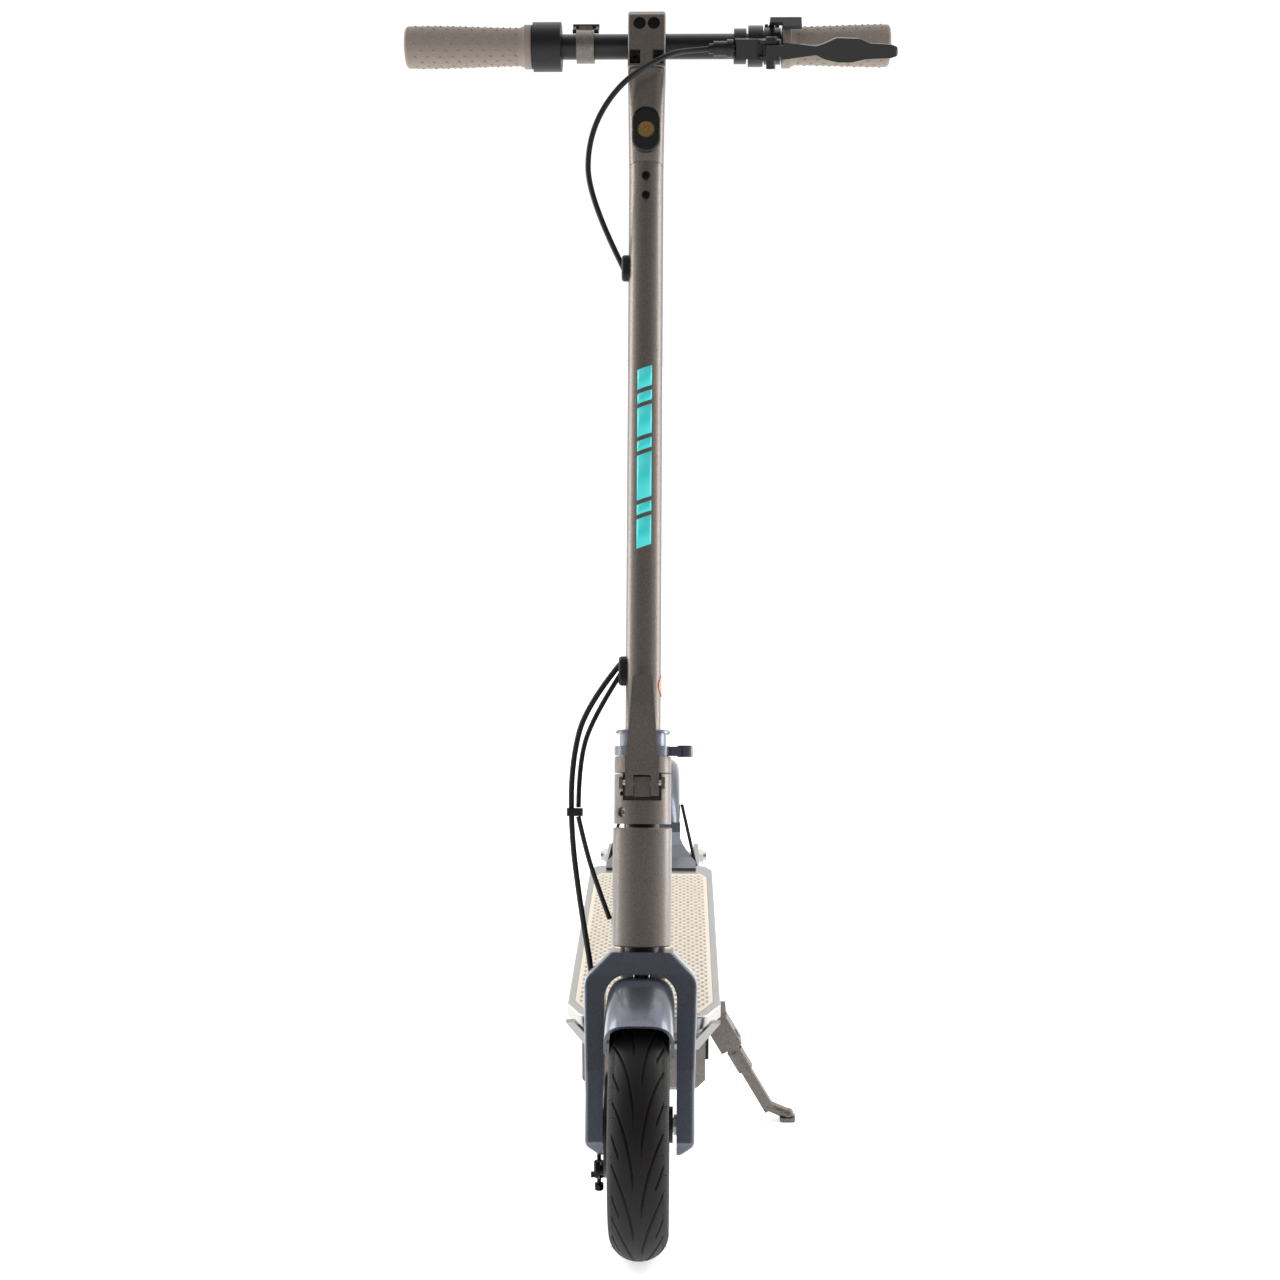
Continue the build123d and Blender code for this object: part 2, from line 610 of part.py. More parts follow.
def brake_perch():
    """Perch with clamp, cable adjuster and boot, bar centre as origin and lever side forward."""
    clamp = across(15.5, BAR_R + FIT, 79, 90)
    body = block((79, 118), (-33, -13.5), (-8.5, 8.5))
    body = fillet(body.edges().filter_by(Axis.Z), 4) + clamp - across(BAR_R + FIT, 0, 60, 90.5)
    body -= across(19, 0, 90.5, 140)
    ears = block((100, 120), (-44, -30), (-8.5, 8.5))
    body += fillet(ears.edges().filter_by(Axis.Z), 5)
    body -= block((99, 130), (-60, -30.5), (-5.3, 5.3))
    body -= Pos(PIVOT_X, PIVOT_Y, 0) * span(3 + FIT, 0, -20, 20)
    bolt = Pos(PIVOT_X, PIVOT_Y, 0) * (span(3, 0, -8.5, 8.5) + span(5, 0, 8.55, 11) + span(4.2, 0, -16, -8.55))
    adjuster = across(2.5, 1, 74, 79.5, -24) + across(8, 1, 72, 77.6, -24)
    boot = across(6.5, 1, 60, 72, -24) + across(4.5, 1, 56, 60, -24)
    body -= across(2.5 + FIT, 0, 77.6, 80, -24)
    return [body, bolt, adjuster + boot]


def brake_lever():
    with BuildSketch() as plan:
        with BuildLine():
            l1 = Line((104, -45), (119, -45.5))
            l2 = Spline(l1 @ 1, (150, -56), (190, -60), (219, -63), tangents=[(1, -0.2), (1, -0.1)])
            l3 = ThreePointArc(l2 @ 1, (220, -67), (217, -70))
            l4 = Spline(l3 @ 1, (188, -69), (150, -66), (124, -56), (106, -51))
            Line(l4 @ 1, l1 @ 0)
        make_face()
    blade = extrude(plan.sketch, 13, both=True)
    front = front_plate(
        [
            (100, -4.8), (120.3, -4.8), (120.8, -7), (132, -5), (149, -2.2), (156, -5.5), (168, -8.2), (180, -8.2),
            (192, -5.5), (214, -4.6), (219, -3), (221, 0), (219, 4.5), (214, 6.5), (196, 7.5), (186, 11.5),
            (166, 12), (156, 7.5), (149, 5), (132, 6.5), (120.8, 7.5), (120.3, 4.8), (100, 4.8),
        ],
        120,
    )
    front = fillet(front.edges().filter_by(Axis.Y).filter_by(lambda e: 130 < e.center().X < 216), 3)
    blade = blade & front
    head = Pos(PIVOT_X, PIVOT_Y, 0) * span(7, 0, -4.8, 4.8) + block((104, 118), (-48, -38), (-4.8, 4.8))
    lever = blade + head
    return lever - Pos(PIVOT_X, PIVOT_Y, 0) * span(3 + RUN, 0, -20, 20)


def bell_body():
    cup = across(18, BAR_R + FIT, 92, 105) - across(16.4, BAR_R - 1, 93.6, 106)
    collar = across(13.6, BAR_R + FIT, 92, 121) + across(16, BAR_R + FIT, 106.5, 121)
    peak = Pos(112, 0, 0) * block((-5, 8), (-4, 4), (13, 19))
    body = cup + collar + peak - block((109.9, 116.3), (-5, 5), (13.4, 24))
    return body - across(1.5 + RUN, 0, 106.6, 130, 0, STRIKER_LEVEL)


def bell_striker():
    """Sprung striker: pin and arm over the collar, and a thumb paddle in front of the grip's flare."""
    body = across(1.5, 0, 108, 119.5, 0, STRIKER_LEVEL)
    body += across(2.6, 0, 110.3, 115.9, 0, STRIKER_LEVEL)
    body += Pos(0, 0, STRIKER_LEVEL) * Rot(8, 0, 0) * block((111, 115.6), (-20, -1), (0.5, 2.6))
    bar = Rot(65, 0, 0) * block((111, 139), (0, 7), (STRIKER_R - 1.8, STRIKER_R + 1.8))
    paddle = Rot(65, 0, 0) * block((122, 139), (-4.8, 7), (STRIKER_R - 1.8, STRIKER_R + 1.8))
    return body + bar + paddle


# ---- frame ----

def main_frame():
    head = span(HEAD_R, 0, HEAD_LOW, HEAD_HIGH)
    head = chamfer(head.edges().filter_by(GeomType.CIRCLE), 1.0)
    neck = side_plate(
        [
            (86, 250), (106, 227), (114, 185), (120, 160), (122, 150), (122, 96), (TRAY_FRONT - FIT, 90),
            (TRAY_FRONT - FIT, DECK_TOP - DECK_H), (166, DECK_TOP - DECK_H), (166, 156), (150, 200), (134, 250),
            (122, 290), (104, 328),
        ],
        NECK_HALF,
    )
    rims = neck.edges().filter_by(lambda e: abs(e.center().X) > 15 and e.center().Z > DECK_TOP + 1)
    neck = fillet(rims.filter_by(lambda e: e.center().Y > 94 and abs(e.tangent_at(0.5).X) < 0.1), 2)
    body = COLUMN * head + Pos(0, FRONT_Y, 0) * neck
    gland = Pos(-NECK_HALF - 2, 31, 160) * Rot(0, 90, 0) * Cylinder(5.5, 10)
    body += COLUMN * gland
    body -= COLUMN * span(BEARING_R, 0, HEAD_LOW - 1, HEAD_LOW + 9)
    body -= COLUMN * span(BEARING_R, 0, HEAD_HIGH - 9, HEAD_HIGH + 1)
    return body - COLUMN * span(BEARING_R - 3, 0, HEAD_LOW - 1, HEAD_HIGH + 1)


def headset_bearings():
    low = span(BEARING_R - FIT, STEERER_R + RUN, HEAD_LOW, HEAD_LOW + 9 - FIT)
    high = span(BEARING_R - FIT, STEERER_R + RUN, HEAD_HIGH - 9 + FIT, HEAD_HIGH)
    return [low, high]


def plan_outline(half, front, rear, corner_x, corner_y):
    return [
        (-half, front + corner_y), (-half + corner_x, front), (half - corner_x, front), (half, front + corner_y),
        (half, rear - corner_y / 2), (half - corner_x / 2, rear), (-half + corner_x / 2, rear),
        (-half, rear - corner_y / 2),
    ]


def deck_frame():
    outline = plan_outline(DECK_HALF, DECK_FRONT, DECK_REAR, CORNER_X, CORNER_Y)
    body = extrude(make_face(Polyline(*outline, close=True)), DECK_H)
    body = fillet(body.edges().filter_by(Axis.Z), 10)
    body = chamfer(body.edges().group_by(Axis.Z)[0], 6)
    body = fillet(body.edges().group_by(Axis.Z)[-1], 2)
    body = Pos(0, 0, DECK_TOP - DECK_H) * body
    body -= Pos(0, 0, DECK_TOP - MAT_H) * extrude(mat_face(0.3), 10)
    body -= block((-NECK_HALF - FIT, NECK_HALF + FIT), (100, 166 + FIT), (100, 200))
    pocket = block((-TRAY_HALF + 8, TRAY_HALF - 8), (180, TRAY_REAR - 10), (DECK_TOP - DECK_H - 1, DECK_TOP - 6))
    return Pos(0, FRONT_Y, 0) * (body - pocket)


def mat_face(margin):
    inset = DECK_HALF - MAT_HALF
    outline = plan_outline(
        MAT_HALF + margin, DECK_FRONT + inset - margin, MAT_REAR + margin, CORNER_X - 1, CORNER_Y - 2
    )
    return make_face(Polyline(*outline, close=True))


def deck_mat():
    body = extrude(mat_face(0), MAT_H + 0.5)
    body = fillet(body.edges().filter_by(Axis.Z), 5)
    body = Pos(0, FRONT_Y, DECK_TOP - MAT_H) * body
    return body - Pos(0, FRONT_Y, 0) * block((-NECK_HALF - 3, NECK_HALF + 3), (100, 170), (100, 200))


def front_trim():
    """Bright nose strip under the deck's front edge, on both sides of the neck."""
    low, high = DECK_TOP - 28, DECK_TOP - 3
    outline = [
        (70, high), (62, high), (44, low + 5), (-44, low + 5), (-62, high), (-70, high), (-50, low), (50, low),
    ]
    body = Pos(0, (DECK_FRONT + 122) / 2, 0) * front_plate(outline, (DECK_FRONT - 122) / 2 - FIT / 2)
    return Pos(0, FRONT_Y, 0) * (body - block((-NECK_HALF - FIT, NECK_HALF + FIT), (100, 200), (0, 200)))


def tray():
    top = DECK_TOP - DECK_H
    outer = block((-TRAY_HALF, TRAY_HALF), (TRAY_FRONT, TRAY_REAR), (TRAY_LOW, top - FIT))
    outer = chamfer(outer.edges().group_by(Axis.Z)[0].filter_by(Axis.Y), 12)
    outer = chamfer(outer.edges().group_by(Axis.Z)[0].filter_by(Axis.X), 5)
    wall = TRAY_WALL
    inner = block(
        (-TRAY_HALF + wall, TRAY_HALF - wall), (TRAY_FRONT + wall, TRAY_REAR - wall), (TRAY_LOW + wall, top + 5)
    )
    inner = chamfer(inner.edges().group_by(Axis.Z)[0].filter_by(Axis.Y), 12)
    body = outer - inner
    body -= PORT * span(PORT_R, 0, -20, 10)
    return Pos(0, FRONT_Y, 0) * body


def charge_socket():
    body = span(PORT_R - FIT, PORT_R - 2, -14, -1) + span(PORT_R - FIT, 0, -16, -13.9) + span(1.2, 0, -14, -4)
    return Pos(0, FRONT_Y, 0) * PORT * body


def charge_cover():
    """Flap over the socket, notched beside the ears that carry its hinge barrel."""
    body = block((TRAY_HALF + 0.3, TRAY_HALF + 3.3), (PORT_Y - 12, PORT_Y + 12), (92, COVER_TOP))
    body = fillet(body.edges().filter_by(Axis.X), 4)
    for y, outward in zip(EAR_YS, (-1, 1)):
        notch = sorted((y - 2.2 * outward, y + 4 * outward))
        body -= block((TRAY_HALF - 1, TRAY_HALF + 5), notch, (COVER_TOP - 2.5, COVER_TOP + 5))
    body += Pos(TRAY_HALF + 2, PORT_Y, COVER_TOP + 1.5) * Rot(90, 0, 0) * Cylinder(1.7, 14)
    return Pos(0, FRONT_Y, 0) * body


def cover_ears():
    """Two ears on the tray that carry the charge cover."""
    ears = []
    for y in EAR_YS:
        ear = block((TRAY_HALF + FIT, TRAY_HALF + 4), (y - 1.7, y + 1.7), (COVER_TOP + 0.3, COVER_TOP + 4.3))
        ears.append(Pos(0, FRONT_Y, 0) * ear)
    return ears


def rear_arms():
    ends = [(TRAY_REAR + FIT, 78), (TRAY_REAR + FIT, 131.9), (600, 131.9), (640, 124), (WHEELBASE, 124),
            (WHEELBASE + 17, 108), (WHEELBASE + 12, 93), (WHEELBASE, 90), (640, 84), (600, 78)]
    plate = side_plate(ends, ARM_IN + ARM_T)
    plate -= block((-ARM_IN, ARM_IN), (TRAY_REAR + 9, 900), (0, 200))
    plate -= across(AXLE_R + FIT, 0, -90, 90, WHEELBASE, WHEEL_R)
    return Pos(0, FRONT_Y, 0) * plate


def rear_mudguard():
    shell = REAR_AXLE * guard(REAR_GUARD_R, REAR_GUARD_HALF, REAR_GUARD_DROP, 62, 95)
    half = REAR_GUARD_HALF - 0.1
    flare = [(52, 566), (52, 588), (half, 640), (half, 700)]
    flare += [(-x, y) for x, y in reversed(flare)]
    plan = Pos(0, FRONT_Y, 0) * make_face(Polyline(*flare, close=True))
    foot = Pos(0, FRONT_Y, 0) * side_plate(
        [(566, DECK_TOP + FIT), (566, 153), (600, 155), (630, 162), (648, 172), (656, 182), (659, 180), (652, 168),
         (633, 158.5), (601, 151.8), (590, DECK_TOP + FIT)],
        80,
    ) & extrude(plan, 300)
    foot -= REAR_AXLE * across(REAR_GUARD_R - GUARD_T / 2, 0, -100, 100)
    hook = REAR_AXLE * Rot(-2, 0, 0) * (
        block((-4, 4), (-6, 6), (REAR_GUARD_R - 1.5, REAR_GUARD_R + 5))
        + block((-4, 4), (-14, 6), (REAR_GUARD_R + 4, REAR_GUARD_R + 8))
    )
    return shell + foot + hook


def guard_stays():
    stays = []
    for side in (-1, 1):
        top = (side * (REAR_GUARD_HALF + 2.1), REAR_Y - 62, WHEEL_R + 84)
        low = (side * (ARM_IN + ARM_T / 2), FRONT_Y + 622, 131)
        stays.append(rod(top, low, 2))
    return stays


def tail_light():
    body = Pos(0, 0, REAR_GUARD_R + 1) * Box(36, 14, 8)
    body = fillet(body.edges().filter_by(Axis.Z), 5)
    body = Rot(-66, 0, 0) * body
    body -= across(REAR_GUARD_R + 0.6, 0, -50, 50)
    return REAR_AXLE * body


def stand_bracket():
    ears = block((-11, 11), (-10.5, 10.5), (-8, 22))
    slot = block((-STAND_SLOT_HALF, STAND_SLOT_HALF), (-8.3, 20), (-30, 9.5))
    ears -= slot
    ears -= across(4 + FIT, 0, -30, 30)
    pin = across(4, 0, -12, 12)
    seat = Pos(0, FRONT_Y + STAND_Y, 0) * block((TRAY_HALF + FIT, 78), (-15, 15), (96, 116))
    return [STAND * ears + (seat - STAND * slot), STAND * pin]


def kickstand():
    half = STAND_SLOT_HALF - 0.4
    head = across(8, 0, -half, half) + block((-half, half), (-7, 7), (-15, 0))
    sleeve = span(8, 0, -36, -14)
    leg = block((-5, 5), (-5, 5), (-84, -30))
    body = STAND * (head + sleeve + leg - across(4 + RUN, 0, -30, 30))
    knee = (STAND * Pos(0, 0, -80)).position
    foot = rod((knee.X, knee.Y, knee.Z), (knee.X + 20, knee.Y, 6), 5.2)
    foot += Pos(knee.X + 20, knee.Y, 6) * Sphere(5.8)
    pad = block((knee.X + 12, knee.X + 27), (knee.Y - 7, knee.Y + 7), (0, 4))
    return body + foot + fillet(pad.edges().filter_by(Axis.Z), 3)


# ---- cables, in the column's frame ----

def upper_brake_cable():
    start = (BAR * Pos(54.8, -24, 0)).position
    return cable([start] + [(BAR_FRAME * Pos(*p)).position for p in UPPER_ROUTE], BRAKE_CABLE_R)


def lower_brake_cable():
    points = [(COLUMN * Pos(*p)).position for p in LOWER_ROUTE]
    for level in (STOP_Z + 40, STOP_Z + 6.1):
        points.append((FRONT_AXLE * Pos(CABLE_X, ARM_END_Y, level)).position)
    return cable(points, BRAKE_CABLE_R)


def column_cable(route):
    return cable([(COLUMN * Pos(*p)).position for p in route], CONTROL_CABLE_R)


def cable_clip():
    body = block((-66, -52), (-3, 13), (CLIP_LEVEL - 3.5, CLIP_LEVEL + 3.5))
    body = fillet(body.edges().filter_by(Axis.Z), 3)
    body -= Pos(-61.9, 2.6, 0) * span(BRAKE_CABLE_R + 0.4, 0, 200, 300)
    return body - Pos(-56, 8, 0) * span(CONTROL_CABLE_R + 0.3, 0, 200, 300)


os.makedirs("parts", exist_ok=True)

save("front_tyre", FRONT_AXLE * tyre())
save("rear_tyre", REAR_AXLE * tyre())
save("front_hub_rim", FRONT_AXLE * front_hub())
save("motor_shell", REAR_AXLE * motor_shell())
save("motor_axle", *[REAR_AXLE * s for s in motor_axle()])

save("fork", COLUMN * fork())
save("steerer_tube", COLUMN * span(STEERER_R, STEERER_R - STEERER_WALL, ARCH_TOP + 1, 261))
save("front_mudguard", front_mudguard())
save("front_axle", *[FRONT_AXLE * s for s in front_axle()])
save("drum_brake", *[FRONT_AXLE * s for s in drum_brake()])
save("brake_arm", FRONT_AXLE * brake_arm())
save("fold_base", COLUMN * fold_base())
save("base_fasteners", *[COLUMN * s for s in base_fasteners()])
save("fold_lever", COLUMN * fold_lever())
save("safety_ring", COLUMN * safety_ring())
save("stem_foot", COLUMN * stem_foot())
save("stem_spool", COLUMN * spool())
save("stem_tube", COLUMN * stem_tube())
save("stem_head", COLUMN * stem_head())
save("headlight_bezel", COLUMN * lamp_bezel())
save("headlight_lens", COLUMN * lamp_lens())
save("display_pod", COLUMN * display_pod())
save("display_screen", COLUMN * display_screen())
save("power_button", COLUMN * SCREEN_SEAT * Pos(0, BUTTON_Y, -0.9) * Cylinder(BUTTON_R, 2.2))
save("stem_screws", *[COLUMN * s for s in stem_screws()])
save("cable_grommets", COLUMN * grommet(739, 24), COLUMN * grommet(376, 26))
save("side_reflector", COLUMN * side_reflector())

save("handlebar", BAR_FRAME * across(BAR_R, BAR_R - BAR_WALL, -BAR_W / 2 + 4, BAR_W / 2 - 4))
for name, inner, outer in (("right_grip", -LEFT_GRIP_IN, -BAR_W / 2), ("left_grip", RIGHT_GRIP_IN, BAR_W / 2)):
    save(name, BAR_FRAME * grip(inner, outer))
save("throttle_housing", BAR_FRAME * throttle_housing())
save("throttle_lever", BAR_FRAME * throttle_lever())
save("latch_band", BAR_FRAME * latch_band())
save("latch_loop", BAR_FRAME * latch_loop())
save("brake_perch", *[BAR * s for s in brake_perch()])
save("brake_lever", BAR * brake_lever())
save("bell_body", BAR_FRAME * bell_body())
save("bell_striker", BAR_FRAME * bell_striker())

save("main_frame", main_frame())
save("headset_bearings", *[COLUMN * s for s in headset_bearings()])
save("deck_frame", deck_frame())
save("deck_mat", deck_mat())
save("deck_front_trim", front_trim())
save("battery_tray", tray(), *cover_ears())
cells = block((-50, 50), (215, 560), (TRAY_LOW + TRAY_WALL + 0.3, 128))
cells = chamfer(cells.edges().group_by(Axis.Z)[0].filter_by(Axis.Y), 12)
save("battery_pack", Pos(0, FRONT_Y, 0) * cells)
save("motor_controller", Pos(0, FRONT_Y, 0) * block((-36, 36), (156, 208), (TRAY_LOW + TRAY_WALL + 0.3, 96)))
save("charge_socket", charge_socket())
save("charge_cover", charge_cover())
save("rear_arms", rear_arms())
save("rear_mudguard", rear_mudguard())
save("mudguard_stays", *guard_stays())
save("tail_light", tail_light())
save("kickstand_bracket", *stand_bracket())
save("kickstand", kickstand())

save("upper_brake_cable", upper_brake_cable())
save("lower_brake_cable", lower_brake_cable())
save("control_cable_upper", column_cable(CONTROL_UPPER))
save("control_cable_lower", column_cable(CONTROL_LOWER))
save("cable_clip", COLUMN * cable_clip())
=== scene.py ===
"""Electric kick scooter: surface detail, materials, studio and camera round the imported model."""

import json
import random
from math import atan2, cos, hypot, log, pi, radians, sin

import bmesh
import bpy
from mathutils import Euler, Matrix, Vector


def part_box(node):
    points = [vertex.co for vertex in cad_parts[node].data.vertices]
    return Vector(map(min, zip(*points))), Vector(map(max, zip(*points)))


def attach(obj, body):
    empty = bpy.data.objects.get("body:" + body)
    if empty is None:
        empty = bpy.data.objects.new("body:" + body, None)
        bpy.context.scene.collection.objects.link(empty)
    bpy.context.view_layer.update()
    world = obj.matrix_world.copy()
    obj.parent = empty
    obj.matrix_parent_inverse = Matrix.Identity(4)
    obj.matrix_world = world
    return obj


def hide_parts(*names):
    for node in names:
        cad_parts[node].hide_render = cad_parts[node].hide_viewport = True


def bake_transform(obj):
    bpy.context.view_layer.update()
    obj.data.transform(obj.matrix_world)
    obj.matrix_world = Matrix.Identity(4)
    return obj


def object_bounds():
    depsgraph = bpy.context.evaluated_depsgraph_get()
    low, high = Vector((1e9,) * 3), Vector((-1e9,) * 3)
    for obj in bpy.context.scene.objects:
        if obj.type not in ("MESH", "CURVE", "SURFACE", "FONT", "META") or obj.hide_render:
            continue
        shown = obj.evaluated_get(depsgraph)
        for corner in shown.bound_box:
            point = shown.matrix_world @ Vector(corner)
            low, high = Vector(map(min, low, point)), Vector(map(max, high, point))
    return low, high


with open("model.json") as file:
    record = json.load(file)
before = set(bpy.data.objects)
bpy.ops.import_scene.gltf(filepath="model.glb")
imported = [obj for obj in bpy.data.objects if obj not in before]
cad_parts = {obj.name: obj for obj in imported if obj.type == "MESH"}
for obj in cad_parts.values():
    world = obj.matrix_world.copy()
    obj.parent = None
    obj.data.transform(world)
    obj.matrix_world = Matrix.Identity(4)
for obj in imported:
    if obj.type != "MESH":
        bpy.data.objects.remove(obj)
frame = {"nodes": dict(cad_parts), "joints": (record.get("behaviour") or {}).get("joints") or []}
cad_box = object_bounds()
nodes = frame["nodes"]
joints = {joint["name"]: joint for joint in frame["joints"]}

MM = 0.001

# The steering column's own axes: z up the column, y to the rear, from a point level with the front axle
STEER_LEVEL = 190 * MM
COLUMN_Z = Vector(joints["steer"]["axis"])
COLUMN_Y = Vector((0, COLUMN_Z.z, -COLUMN_Z.y))
COLUMN_X = Vector((1, 0, 0))
COLUMN_FOOT = Vector(joints["steer"]["pos_m"]) - COLUMN_Z * STEER_LEVEL
COLUMN_TURN = Matrix((COLUMN_X, COLUMN_Y, COLUMN_Z)).transposed()
FRONT_AXLE = Vector(joints["front_wheel_spin"]["pos_m"])
REAR_AXLE = Vector(joints["rear_wheel_spin"]["pos_m"])
BAR_LEVEL = 947 * MM
BAR = COLUMN_FOOT + COLUMN_Z * BAR_LEVEL


def on_column(x, y, z):
    """A point given along the column's axes, in millimetres."""
    return COLUMN_FOOT + COLUMN_X * x * MM + COLUMN_Y * y * MM + COLUMN_Z * z * MM


# Fine moulded hatching on a tyre's shoulders
HATCH_COUNT = 380         # ribs round the tyre, about 1.8 mm apart
HATCH_SLANT = 2.2         # phase gained for each millimetre across, which slants the ribs
HATCH_FROM = 18.5         # across from the tyre's centre
HATCH_FADE = 0.6

# Level of the foot mat, shared by its shape and its shading
MAT_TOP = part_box("deck_mat")[1].z / MM
SCALE_RISE = 1.2

# How often each pattern repeats in a millimetre
PEEL = 0.35               # ripple of sprayed paint, one in about 3 mm
PAINT_DRIFT = 0.012       # change of gloss over a hand's width
DIE_LINES = 1.2
BLAST = 2.0               # real bead blasting is finer; it is drawn this coarse so that it shows
TOOL_MARKS = 1.5
MOULD_DRIFT = 0.02
RUBBER_GRAIN = 0.9
RUBBER_DUST = 0.03
SILICONE_GRAIN = 1.2
HAZE = 0.08
PAPER_FLECK = 0.01

# ---- materials ----

def linear(code):
    """sRGB hex code to linear RGBA."""
    channels = [int(code[i:i + 2], 16) / 255 for i in (1, 3, 5)]
    return [c / 12.92 if c <= 0.04045 else ((c + 0.055) / 1.055) ** 2.4 for c in channels] + [1.0]


def add(tree, kind, inputs=(), **settings):
    """Adds a node, with its settings, and its input values or links."""
    node = tree.nodes.new(kind)
    for name, value in settings.items():
        setattr(node, name, value)
    for name, value in dict(inputs).items():
        if isinstance(value, bpy.types.NodeSocket):
            tree.links.new(value, node.inputs[name])
        else:
            node.inputs[name].default_value = value
    return node


def new_material(name):
    """An empty material with its object-space position in millimetres, which rides with the piece."""
    material = bpy.data.materials.new(name)
    material.use_nodes = True
    tree = material.node_tree
    tree.nodes.clear()
    place = add(tree, "ShaderNodeTexCoord")
    in_mm = add(tree, "ShaderNodeVectorMath", {
        0: place.outputs["Object"], 1: (1000,) * 3,
    }, operation="MULTIPLY")
    return material, tree, in_mm.outputs[0]


def close_material(tree, shader):
    """Joins the shader to the material's output."""
    add(tree, "ShaderNodeOutputMaterial", {"Surface": shader.outputs[0]})


def metallic_paint(name, dark, light, rough, flake_mm, coat):
    """Metallic paint sprayed over primer: tiny bright flakes and a soft ripple under clear lacquer."""
    material, tree, mm = new_material(name)
    flake = add(tree, "ShaderNodeTexVoronoi", {"Vector": mm, "Scale": 1 / flake_mm})
    sparkle = add(tree, "ShaderNodeSeparateColor", {"Color": flake.outputs["Color"]})
    peel = add(tree, "ShaderNodeTexNoise", {"Vector": mm, "Scale": PEEL, "Detail": 2.0})
    drift = add(tree, "ShaderNodeTexNoise", {"Vector": mm, "Scale": PAINT_DRIFT, "Detail": 3.0})
    worn = add(tree, "ShaderNodeMapRange", {
        "Value": drift.outputs["Fac"], "To Min": rough - 0.05, "To Max": rough + 0.06,
    })
    bump = add(tree, "ShaderNodeBump", {
        "Height": peel.outputs["Fac"], "Strength": 0.08, "Distance": 0.0004,
    })
    grain = add(tree, "ShaderNodeBump", {
        "Height": sparkle.outputs[0], "Strength": 0.12, "Distance": 0.0001, "Normal": bump.outputs[0],
    })
    colour = add(tree, "ShaderNodeMix", {
        "Factor": sparkle.outputs[1], "A": linear(dark), "B": linear(light),
    }, data_type="RGBA")
    shader = add(tree, "ShaderNodeBsdfPrincipled", {
        "Base Color": colour.outputs["Result"],
        "Metallic": 0.8,
        "Roughness": worn.outputs[0],
        "Coat Weight": coat,
        "Coat Roughness": 0.12,
        "Normal": grain.outputs[0],
    })
    close_material(tree, shader)
    return material


def anodised_aluminium(name, dark, light, rough):
    """Extruded aluminium, bead-blasted and anodised: an even silver with faint lengthwise die lines."""
    material, tree, mm = new_material(name)
    lines = add(tree, "ShaderNodeVectorMath", {0: mm, 1: (1.0, 0.02, 1.0)}, operation="MULTIPLY")
    die = add(tree, "ShaderNodeTexNoise", {
        "Vector": lines.outputs[0], "Scale": DIE_LINES, "Detail": 3.0,
    })
    blast = add(tree, "ShaderNodeTexNoise", {"Vector": mm, "Scale": BLAST, "Detail": 2.0})
    bump = add(tree, "ShaderNodeBump", {
        "Height": blast.outputs["Fac"], "Strength": 0.1, "Distance": 0.0002,
    })
    colour = add(tree, "ShaderNodeMix", {
        "Factor": die.outputs["Fac"], "A": linear(dark), "B": linear(light),
    }, data_type="RGBA")
    shader = add(tree, "ShaderNodeBsdfPrincipled", {
        "Base Color": colour.outputs["Result"],
        "Metallic": 0.85,
        "Roughness": rough,
        "Normal": bump.outputs[0],
    })
    close_material(tree, shader)
    return material


def drawn_metal(name, dark, light, rough):
    """Drawn or cold-formed metal under its plating or lacquer: soft blotches and fine tool marks."""
    material, tree, mm = new_material(name)
    marks = add(tree, "ShaderNodeTexNoise", {"Vector": mm, "Scale": TOOL_MARKS, "Detail": 4.0})
    wear = add(tree, "ShaderNodeMapRange", {
        "Value": marks.outputs["Fac"], "To Min": rough - 0.08, "To Max": rough + 0.1,
    })
    bump = add(tree, "ShaderNodeBump", {
        "Height": marks.outputs["Fac"], "Strength": 0.08, "Distance": 0.0001,
    })
    colour = add(tree, "ShaderNodeMix", {
        "Factor": marks.outputs["Fac"], "A": linear(dark), "B": linear(light),
    }, data_type="RGBA")
    shader = add(tree, "ShaderNodeBsdfPrincipled", {
        "Base Color": colour.outputs["Result"],
        "Metallic": 1.0,
        "Roughness": wear.outputs[0],
        "Normal": bump.outputs[0],
    })
    close_material(tree, shader)
    return material


def moulded(name, dark, light, rough, grain_mm, depth, specular=0.5):
    """Moulded plastic or rubber with the mould's spark-eroded grain, which breaks up the highlight."""
    material, tree, mm = new_material(name)
    grain = add(tree, "ShaderNodeTexNoise", {"Vector": mm, "Scale": 1 / grain_mm, "Detail": 3.0})
    drift = add(tree, "ShaderNodeTexNoise", {"Vector": mm, "Scale": MOULD_DRIFT, "Detail": 3.0})
    polish = add(tree, "ShaderNodeMapRange", {
        "Value": drift.outputs["Fac"], "To Min": rough - 0.06, "To Max": rough + 0.06,
    })
    bump = add(tree, "ShaderNodeBump", {
        "Height": grain.outputs["Fac"], "Strength": depth, "Distance": 0.0003,
    })
    colour = add(tree, "ShaderNodeMix", {
        "Factor": grain.outputs["Fac"], "A": linear(dark), "B": linear(light),
    }, data_type="RGBA")
    shader = add(tree, "ShaderNodeBsdfPrincipled", {
        "Base Color": colour.outputs["Result"],
        "Roughness": polish.outputs[0],
        "Specular IOR Level": specular,
        "Normal": bump.outputs[0],
    })
    close_material(tree, shader)
    return material


